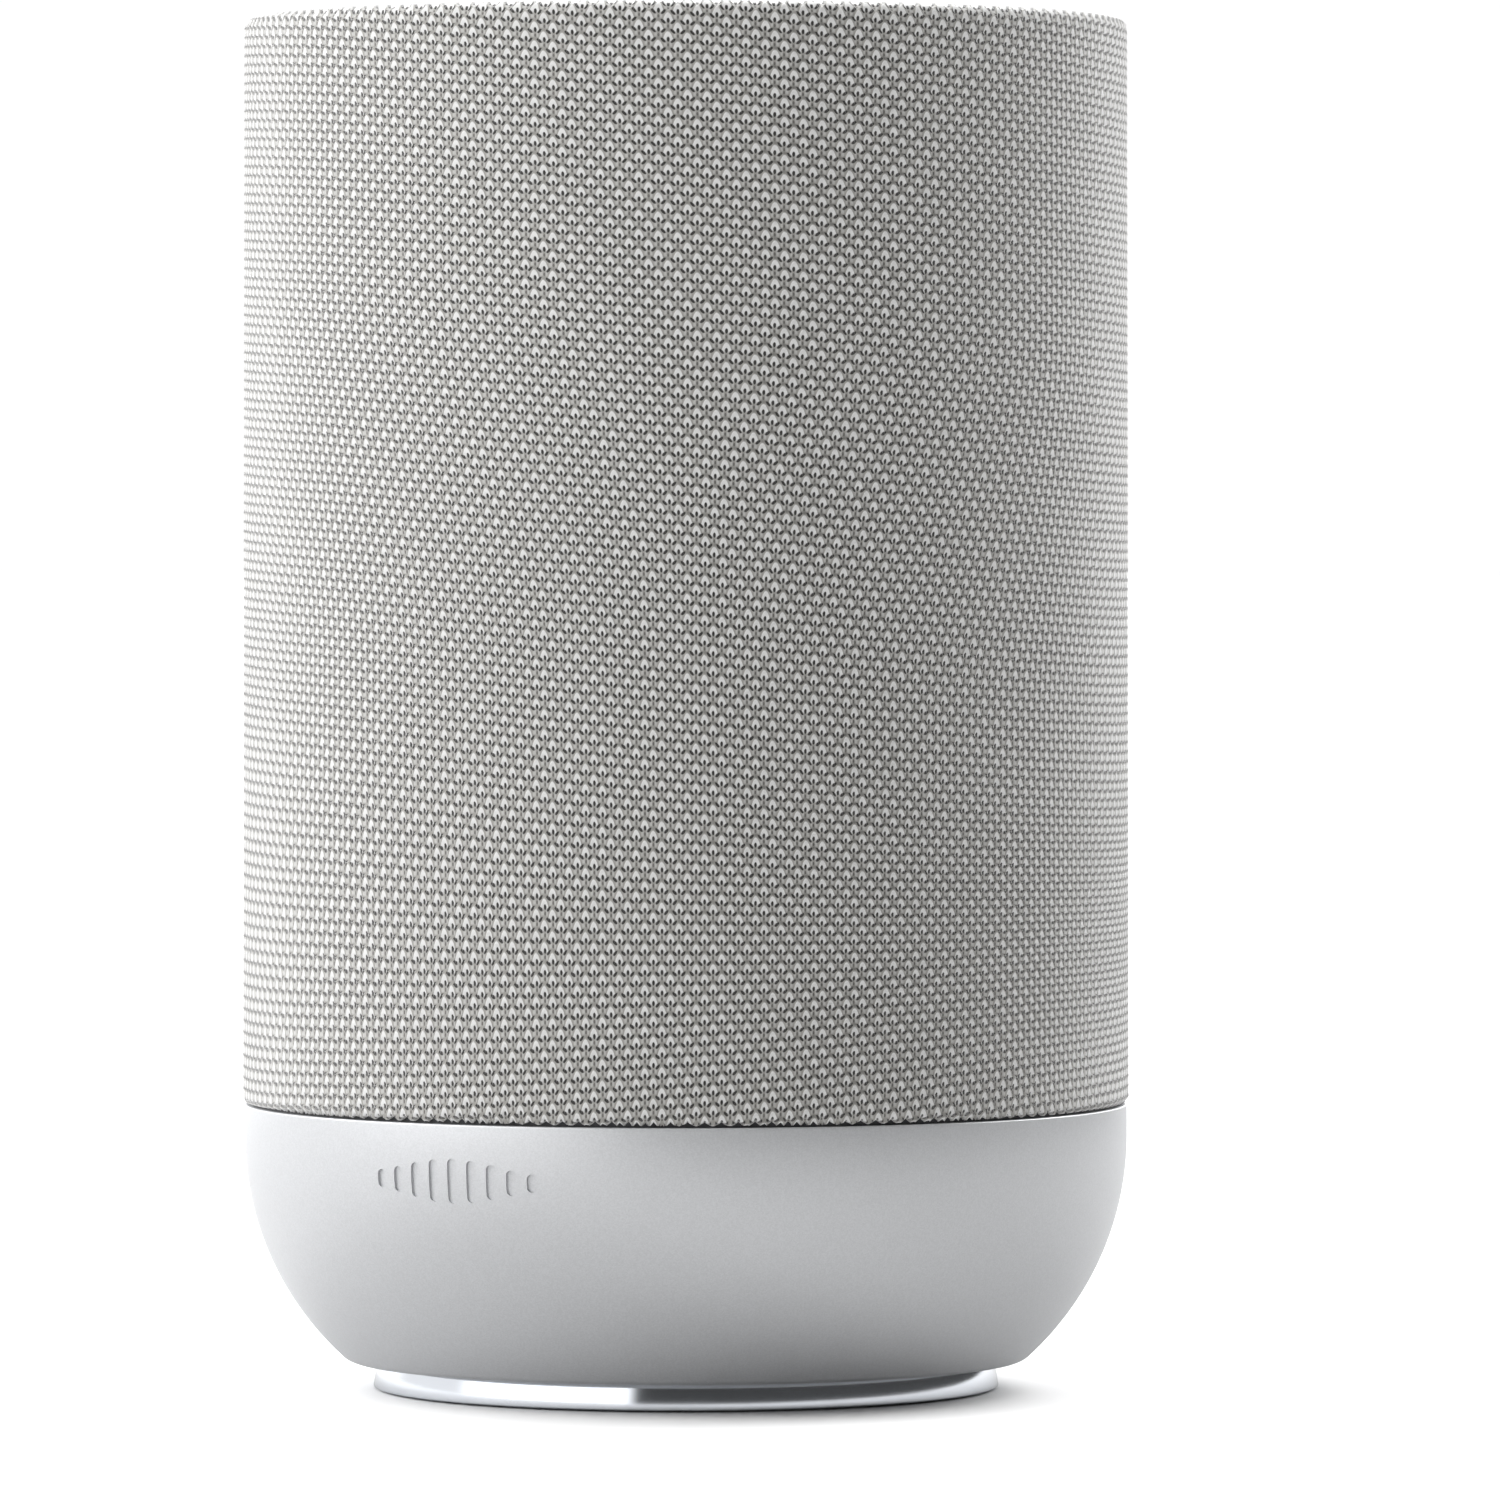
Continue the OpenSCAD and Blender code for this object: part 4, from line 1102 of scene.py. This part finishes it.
@dataclass
class Foot:
    """The polished foot ring and the rubber pad inside it.

    Attributes:
        ring: The reach of the ring's solid.
        pad: The reach of the pad's solid.
        edge: The rounding of the ring's lower edges.
        lean: How much narrower the ring is at its top.
        grooves: How many grooves the pad's underside has.
        groove: How deep they are.
    """

    ring: Span = field(default_factory=lambda: Span.of("foot_ring"))
    pad: Span = field(default_factory=lambda: Span.of("foot_pad"))
    edge: float = 0.2 * MM
    lean: float = 0.7 * MM
    grooves: int = 6
    groove: float = 0.35 * MM

    def build_ring(self) -> None:
        """Turn the ring and dress it."""
        inner = self.pad.radius + 0.2 * MM
        lip = 2.5 * MM
        step = self.ring.low + 2.7 * MM
        outline = [
            *arc(inner + self.edge, self.ring.low + self.edge, self.edge, 180, 270, 5),
            *arc(self.ring.radius - self.edge, self.ring.low + self.edge, self.edge, -90, 0, 5),
            (self.ring.radius - self.lean, self.ring.high), (inner - lip, self.ring.high),
            (inner - lip, step), (inner, step),
        ]
        dressed(lathe("polished_foot_ring", outline, 160), "ring_metal", Body.HOUSING, "foot_ring")

    def build_pad(self) -> None:
        """Turn the pad with rounded ribs under it and dress it."""
        hole = 12 * MM
        width = (self.pad.radius - hole) / self.grooves
        outline: Outline = [(hole, self.pad.high)]
        for i in range(self.grooves):
            middle = hole + (i + 0.5) * width
            bend = width * 0.3
            outline += [(middle - width * 0.42, self.groove)]
            outline += [(middle - bend, 0.0), (middle + bend, 0.0)]
            outline += [(middle + width * 0.42, self.groove)]
        outline += [(self.pad.radius, self.groove), (self.pad.radius, self.pad.high)]
        dressed(lathe("foot_pad_ribbed", outline), "foot_rubber", Body.HOUSING, "foot_pad")

    def build(self) -> None:
        """Make both pieces."""
        self.build_ring()
        self.build_pad()


@dataclass
class Top:
    """The clamp ring, the light ring and the touch panel.

    Attributes:
        ring: The reach of the clamp ring's solid.
        guide: The reach of the light ring's solid.
        panel: The reach of the panel's solid.
        edge: The rounding of their upper edges.
        dish: How far the panel's face lies below its rim.
        hole: The radius of a microphone hole.
    """

    ring: Span = field(default_factory=lambda: Span.of("top_ring"))
    guide: Span = field(default_factory=lambda: Span.of("light_guide"))
    panel: Span = field(default_factory=lambda: Span.of("top_panel"))
    edge: float = 0.4 * MM
    dish: float = 0.12 * MM
    hole: float = 0.6 * MM

    def build_panel(self) -> None:
        """Turn the touch panel, bore its microphone holes and dress it."""
        reach, face = self.panel, self.panel.high - self.dish
        outline = [
            (0.0, reach.low), (reach.radius, reach.low),
            *arc(reach.radius - self.edge, reach.high - self.edge, self.edge, 0, 90, 4),
            (reach.radius - 1.4 * MM, reach.high), (reach.radius - 2.6 * MM, face),
            (reach.radius - 3 * MM, face), (0.0, face),
        ]
        panel = lathe("touch_panel_face", outline, 160)
        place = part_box("microphones")[1] - Vector((2, 2, 0)) * MM
        ring = math.hypot(place.x, place.y)
        depth = reach.high - reach.low + 2 * MM
        for turn in (45, 135, 225, 315):
            bore = capsule("bore_cutter", 2 * self.hole, 2 * self.hole, depth)
            below = Matrix.Translation((ring, 0, reach.low - MM))
            stand = Matrix.Rotation(math.radians(turn), 4, "Z") @ below
            cut(panel, placed(bore, stand @ Matrix.Rotation(math.pi / 2, 4, "X")))
        dressed(smooth(panel), "panel_gloss", Body.HOUSING, "top_panel")

    def hoop(self, name: str, inner: float, reach: Span) -> Piece:
        """Return a ring whose upper edges are rounded."""
        top = reach.high - self.edge
        outline = [
            (inner, reach.low), (reach.radius, reach.low),
            *arc(reach.radius - self.edge, top, self.edge, 0, 90, 4),
            *arc(inner + self.edge, top, self.edge, 90, 180, 4),
        ]
        return lathe(name, outline, 160)

    def build(self) -> None:
        """Make the three pieces."""
        self.build_panel()
        clamp = self.hoop("clamp_ring", self.guide.radius + 0.2 * MM, self.ring)
        dressed(clamp, "trim_metal", Body.HOUSING, "top_ring")
        light = self.hoop("light_ring", self.panel.radius + 0.2 * MM, self.guide)
        dressed(light, "light_diffuser", Body.HOUSING, "light_guide")


@dataclass
class Ports:
    """The port tray at the rear, with its button and its switch.

    Attributes:
        wall: The thickness of the tray's sides.
        corner: The rounding of the tray's corners.
        edge: The rounding of the small parts' edges.
        face: How far back the face of the tray's rear plate lies.
    """

    wall: float = 1.6 * MM
    corner: float = 2.4 * MM
    edge: float = 0.35 * MM
    face: float = field(default_factory=lambda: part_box("mains_inlet")[1].y)

    def build_button(self) -> None:
        """Turn the button's cap with a shallow dish and dress it."""
        low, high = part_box("pairing_button")
        middle = (low + high) / 2
        flange = (high.x - low.x) / 2
        cap = flange - 1 * MM
        back, step, face = 0.0, 1.1 * MM, high.y - low.y
        outline = [
            (0.0, back), (flange, back), (flange, step), (cap, step),
            *arc(cap - self.edge, face - self.edge, self.edge, 0, 90, 4), (cap * 0.6, face - 0.1 * MM),
            (0.0, face - 0.25 * MM),
        ]
        cap_piece = lathe("pairing_button_cap_piece", outline, 48)
        stand = Matrix.Translation((middle.x, low.y, middle.z)) @ Matrix.Rotation(-math.pi / 2, 4, "X")
        dressed(placed(cap_piece, stand), "button_plastic", Body.BUTTON, "pairing_button")

    def opening(self, node: str, width: float, height: float) -> Piece:
        """Make the cutter of an opening in the tray, with round ends.

        Args:
            node: The CAD node that it is centred on.
            width: Its width.
            height: Its height.

        Returns:
            The cutter.
        """
        low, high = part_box(node)
        middle = (low + high) / 2
        wide = width > height
        cutter = capsule(f"{node}_cutter", min(width, height), max(width, height), 8 * MM)
        stand = Matrix.Translation((middle.x, self.face - 4 * MM, middle.z))
        return placed(cutter, stand @ Matrix.Rotation(math.pi / 2 if wide else 0.0, 4, "Y"))

    def build_tray(self) -> None:
        """Make the tray, follow the bowl with its rim, cut its openings and dress it."""
        low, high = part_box("port_panel")
        tray = rounded_block("port_tray", low, high, self.corner)
        sides = Vector((self.wall, 0, self.wall))
        inner_low = Vector((low.x, self.face, low.z)) + sides
        inner_high = high + Vector((0, 5 * MM, 0)) - sides
        cut(tray, rounded_block("pocket_cutter", inner_low, inner_high, self.corner - self.wall))
        bowl = Bowl()
        shape = lathe("bowl_shape", [*bowl.side_curve(0.3 * MM, 40), (0.0, bowl.belly)], 192)
        modified(tray, "BOOLEAN", operation="INTERSECT", object=shape, solver="EXACT")
        bpy.data.objects.remove(shape)
        nodes = ("mains_inlet", "usb_socket", "aux_jack", "pairing_button")
        inlet, usb, jack, button = (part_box(node)[1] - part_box(node)[0] for node in nodes)
        gap = 0.2 * MM
        barrel = jack.x - 1.8 * MM
        cap = button.x - 2 * MM
        low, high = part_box("mic_switch")
        slot_low = Vector((low.x + 1.3 * MM, self.face - 4 * MM, low.z + 0.8 * MM))
        slot_high = Vector((high.x + 1.7 * MM, self.face + 4 * MM, high.z - 0.8 * MM))
        cut(
            tray, self.opening("mains_inlet", inlet.x + gap, inlet.z - 3 * MM + gap),
            self.opening("usb_socket", usb.x + 2 * gap, usb.z + 2 * gap),
            self.opening("aux_jack", barrel + gap, barrel + gap),
            self.opening("pairing_button", cap + 2 * gap, cap + 2 * gap),
            rounded_block("switch_cutter", slot_low, slot_high, 0.4 * MM))
        dressed(smooth(tray, 30.0), "black_plastic", Body.HOUSING, "port_panel")

    def build_switch(self) -> None:
        """Make the slide switch's cap with finger grooves and dress it."""
        low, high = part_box("mic_switch")
        step = low.y + 1.6 * MM
        flange = rounded_block("mic_switch_cap", low, Vector((high.x, step, high.z)), 0.3 * MM)
        rim = Vector((1.5, 0, 1.0)) * MM
        slider = rounded_block("slider", Vector((low.x, step, low.z)) + rim, high - rim, 0.5 * MM)
        middle = (low + high) / 2
        for i in (-1, 0, 1):
            groove = capsule("groove_cutter", 0.4 * MM, 1.9 * MM, 2 * MM)
            at = Matrix.Translation((middle.x + i * MM, high.y - 0.4 * MM, middle.z))
            cut(slider, placed(groove, at))
        dressed(joined("mic_switch_cap", [flange, slider]), "button_plastic", Body.SWITCH, "mic_switch")

    def build(self) -> None:
        """Make the pieces of the bay."""
        self.build_tray()
        self.build_button()
        self.build_switch()


@dataclass
class Driver:
    """The flexible rings of a driver that fires along -Y or +Y.

    Attributes:
        surround: The CAD node of its rubber roll.
        inner: The radius at which the roll starts.
        lip: The width of the roll's glued lip.
        sheet: The rubber's thickness.
        spider: The CAD node of its corrugated cloth, or nothing.
        coil: The radius at which the cloth starts.
        waves: How many corrugations it has.
        gasket: The CAD node of the rubber gasket under its flange, or nothing.
        bore: The radius of the gasket's screw holes.
        screws: The radius of the circle that they lie on.
        opening: The radius of the gasket's opening.
    """

    surround: str
    inner: float
    lip: float = 1.0 * MM
    sheet: float = 0.6 * MM
    spider: str = ""
    coil: float = 13.2 * MM
    waves: int = 6
    gasket: str = ""
    bore: float = 1.6 * MM
    screws: float = 40.6 * MM
    opening: float = 38.8 * MM

    def stood(self, piece: Piece, node: str) -> Piece:
        """Turn a ring that was made round the vertical axis so that it faces as its node does."""
        low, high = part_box(node)
        front = low.y < 0
        base = high.y if front else low.y
        turn = math.pi / 2 if front else -math.pi / 2
        stand = Matrix.Translation((0, base, (low.z + high.z) / 2))
        return placed(piece, stand @ Matrix.Rotation(turn, 4, "X"))

    def build_surround(self) -> None:
        """Turn the half roll, with a rounded glued lip on its outer side and a bead on its inner one."""
        low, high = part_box(self.surround)
        outer = (high.x - low.x) / 2
        roll = outer - self.lip
        mid, half = (roll + self.inner) / 2, (roll - self.inner) / 2
        t = self.sheet
        outline = [
            *arc(mid, 0.0, half, 180, 0, 24), (outer - t / 3, 0.0),
            *arc(outer - t / 3, t / 3, t / 3, -90, 90, 6), (roll + t, t * 0.8),
            *arc(mid, t, half, 0, 180, 24),
        ]
        ring = self.stood(lathe(f"{self.surround}_roll", outline, 120), self.surround)
        dressed(smooth(ring, 50.0), "surround_rubber", Body.HOUSING, self.surround)

    def build_spider(self) -> None:
        """Turn the corrugated cloth."""
        low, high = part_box(self.spider)
        outer, tall = (high.x - low.x) / 2, high.y - low.y
        cloth = 0.45 * MM
        swing = (tall - cloth) / 2
        steps = 72
        top: Outline = []
        for i in range(steps + 1):
            share = i / steps
            wave = swing * math.sin(FULL_TURN * self.waves * share) * min(1.0, 6 * share, 6 * (1 - share))
            top.append((self.coil + (outer - self.coil) * share, swing + wave))
        outline = [*top, *((r, z + cloth) for r, z in reversed(top))]
        ring = self.stood(lathe(f"{self.spider}_cloth", outline, 96), self.spider)
        dressed(smooth(ring, 50.0), "spider_cloth", Body.HOUSING, self.spider)

    def build_gasket(self) -> None:
        """Turn the gasket with rounded edges and punch its screw holes."""
        low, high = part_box(self.gasket)
        outer, t = (high.x - low.x) / 2, high.y - low.y
        edge = 0.25 * MM
        outline = [
            (self.opening, 0.0), *arc(outer - edge, edge, edge, -90, 0, 4),
            *arc(outer - edge, t - edge, edge, 0, 90, 4),
            *arc(self.opening + edge, t - edge, edge, 90, 180, 4),
        ]
        ring = lathe(f"{self.gasket}_ring", outline, 120)
        for turn in (45, 135, 225, 315):
            stand = Matrix.Rotation(math.radians(turn), 4, "Z") @ Matrix.Translation((self.screws, 0, 0))
            cut(ring, placed(rod("hole", self.bore, -MM, 2 * MM, 24), stand))
        dressed(smooth(self.stood(ring, self.gasket)), "foot_rubber", Body.HOUSING, self.gasket)

    def build(self) -> None:
        """Make the roll, and the cloth and the gasket where there is one."""
        self.build_surround()
        if self.spider:
            self.build_spider()
        if self.gasket:
            self.build_gasket()


@dataclass
class Wiring:
    """The mains leads, the speaker leads and the flat cable to the touch board.

    Attributes:
        lead: The radius of a round lead.
        bend: The radius of its bends.
        ribbon: The thickness of the flat cable.
        fold: The radius of its folds.
        grommet: The height of the grommet that the speaker leads end in.
        head: How far below the tube's top the flat cable turns in again.
    """

    lead: float = 1.0 * MM
    bend: float = 4.0 * MM
    ribbon: float = 0.4 * MM
    fold: float = 1.2 * MM
    grommet: float = 2.3 * MM
    head: float = 9.1 * MM

    def build_mains(self) -> None:
        """Lay the two leads from the power board up and back to the inlet."""
        low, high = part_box("mains_leads")
        rise = high.z - self.lead - low.z - self.bend
        back = high.y - low.y - self.lead - self.bend
        leads = []
        for x in (low.x + self.lead, high.x - self.lead):
            lead = laid("mains_lead", 2 * self.lead, 2 * self.lead, [(rise, -90), (back, 0)], self.bend)
            leads.append(placed(lead, Matrix.Translation((x, low.y + self.lead, low.z))))
        dressed(joined("mains_leads_bent", leads), "cable_sheath", Body.HOUSING, "mains_leads")

    def build_speaker(self) -> None:
        """Lay the two leads up into the grommet under the cabinet."""
        low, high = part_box("speaker_leads")
        corner = Vector((low.x, low.y, high.z - self.grommet))
        parts = [rounded_block("speaker_leads_laid", corner, high, 0.8 * MM, "Z")]
        for x in (low.x + 2 * MM, high.x - 2 * MM):
            lead = laid("speaker_lead", 2 * self.lead, 2 * self.lead, [(corner.z - low.z, 0)], self.bend)
            parts.append(placed(lead, Matrix.Translation((x, (low.y + high.y) / 2, low.z))))
        dressed(joined("speaker_leads_laid", parts), "cable_sheath", Body.HOUSING, "speaker_leads")

    def build_ribbon(self) -> None:
        """Lay the flat cable up beside the cabinet, out under the chassis and in again above the cabinet."""
        low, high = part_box("ribbon_cable")
        half = self.ribbon / 2
        out = high.x - low.x - self.ribbon - 2 * self.fold
        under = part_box("chassis")[0].z - MM
        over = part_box("grille_frame")[1].z - self.head
        legs = [
            (under - low.z - self.fold, 90), (out, -90), (over - under - 2 * self.fold, -90), (out, 90),
            (high.z - over - self.fold, 0),
        ]
        cable = laid("ribbon_cable_folded", high.y - low.y, self.ribbon, legs, self.fold)
        stand = Matrix.Translation((low.x + half, 0, low.z)) @ Matrix.Rotation(math.pi / 2, 4, "Z")
        dressed(placed(cable, stand), "flat_cable", Body.HOUSING, "ribbon_cable")

    def build(self) -> None:
        """Lay all the leads."""
        self.build_mains()
        self.build_speaker()
        self.build_ribbon()


def dress_the_rest() -> None:
    """Give every CAD node that is still shown the finish of its slot."""
    for part in frame["record"]["subparts"]:
        node = frame["nodes"][part["node"]]
        if not node.hide_render:
            node.data.materials.clear()
            node.data.materials.append(FINISHES[part["material_slot"]].build())
            LOG.info("%s: dressed in %s", node.name, part["material_slot"])


# ---------------------------------------------------------------------------------------------
# Studio


@dataclass
class Studio:
    """The floor, the light and the camera.

    Attributes:
        azimuth: The camera's direction from the object, in degrees round from the front.
        distance: Its distance from the object's axis.
        height: Its height above the floor.
        pitch: How far it looks down, in degrees.
        swing: How far it looks to the object's right of the axis, in degrees.
        lens: Its focal length in millimetres, on a 36 mm sensor.
        floor_size: The width of the floor.
        overhead: The brightness of the light from above.
        window: The brightness of the large lamp to the left.
        balance: How much brighter than that the lamp to the right is.
        card: The brightness of the low white card at the left of the camera.
        glow: The brightness of the room beyond the card.
        rear: The brightness of the wall behind.
        unlit: The brightness of the unlit side of the room.
        backdrop: The brightness that the camera itself sees behind the object.
    """

    azimuth: float = 30.9
    distance: float = 1.70
    height: float = 0.141
    pitch: float = 1.357
    swing: float = 0.341
    lens: float = 258.3
    floor_size: float = 30.0
    overhead: float = 1.2
    window: float = 5.4
    balance: float = 1.6
    card: float = 1.6
    glow: float = 0.9
    rear: float = 1.8
    unlit: float = 0.06
    backdrop: float = 1.02

    def build_camera(self) -> None:
        """Set up the camera."""
        turn = math.radians(self.azimuth)
        lens = bpy.data.cameras.new("camera")
        lens.lens, lens.sensor_width = self.lens, 36.0
        lens.clip_start, lens.clip_end = 0.05, 100.0
        camera = bpy.data.objects.new("camera", lens)
        camera.location = (math.sin(turn) * self.distance, -math.cos(turn) * self.distance, self.height)
        look = turn - math.radians(self.swing)
        camera.rotation_euler = (math.radians(90 - self.pitch), 0, look)
        bpy.context.scene.collection.objects.link(camera)
        bpy.context.scene.camera = camera

    def build_floor(self) -> None:
        """Lay a pale floor."""
        deselect()
        bpy.ops.mesh.primitive_plane_add(size=self.floor_size)
        floor = started("floor")
        bpy.ops.mesh.subdivide(number_cuts=3)
        bpy.ops.object.mode_set(mode="OBJECT")
        floor.data.materials.append(Paper("floor_paper", (0.92, 0.92, 0.92), 0.95).build())

    def build_light(self) -> None:
        """Light the room from above, from the left and from behind."""
        world = bpy.data.worlds.new("studio")
        world.use_nodes = True
        graph = Graph(world.node_tree)
        x, y, z = graph.split(graph.place("Generated"))
        turn = math.radians(self.azimuth)
        ahead = x * math.sin(turn) - y * math.cos(turn)
        left = x * -math.cos(turn) - y * math.sin(turn)
        around = left.math("ARCTAN2", ahead) * (180 / math.pi)
        left_card = self.card - around.rise(84, 96) * (self.card - self.glow)
        left_card = left_card + around.rise(125, 150) * (self.rear - self.glow)
        low = around.rise(17, 23) * left_card + around.fall(-178, -135) * self.rear
        windows = around.rise(28, 74) * around.fall(118, 150)
        windows = windows + around.fall(-122, -92) * around.rise(-170, -145) * self.balance
        high = (around.rise(74, 150) + around.fall(-150, -110)) * self.rear + windows * self.window
        upper = z.rise(0.3, 0.48)
        side = low * (1.0 - upper) + high * upper + self.unlit
        above = z.rise(0.76, 0.86)
        light = side * (1.0 - above) + above * self.overhead
        camera_ray = graph.node("ShaderNodeLightPath", {}, {}, "Is Camera Ray")
        strength = light * (1.0 - camera_ray) + camera_ray * self.backdrop
        white = graph.node("ShaderNodeBackground", {}, {"Color": (1, 1, 1, 1), "Strength": strength})
        graph.node("ShaderNodeOutputWorld", {}, {"Surface": white})
        bpy.context.scene.world = world
        bpy.context.scene.view_settings.view_transform = "Standard"

    def build(self) -> None:
        """Set up the studio."""
        self.build_camera()
        self.build_floor()
        self.build_light()


def main() -> None:
    """Build the studio and the speaker."""
    logging.basicConfig(level=logging.INFO, format="%(name)s: %(message)s")
    Studio().build()
    drivers = [
        Driver("woofer_surround", 33.1 * MM, spider="woofer_spider", gasket="woofer_gasket"),
        Driver("radiator_surround", 29.1 * MM),
    ]
    for assembly in (Sleeve(), Bowl(), Foot(), Top(), Ports(), Wiring(), *drivers):
        assembly.build()
    dress_the_rest()


if __name__ == "__main__":
    main()
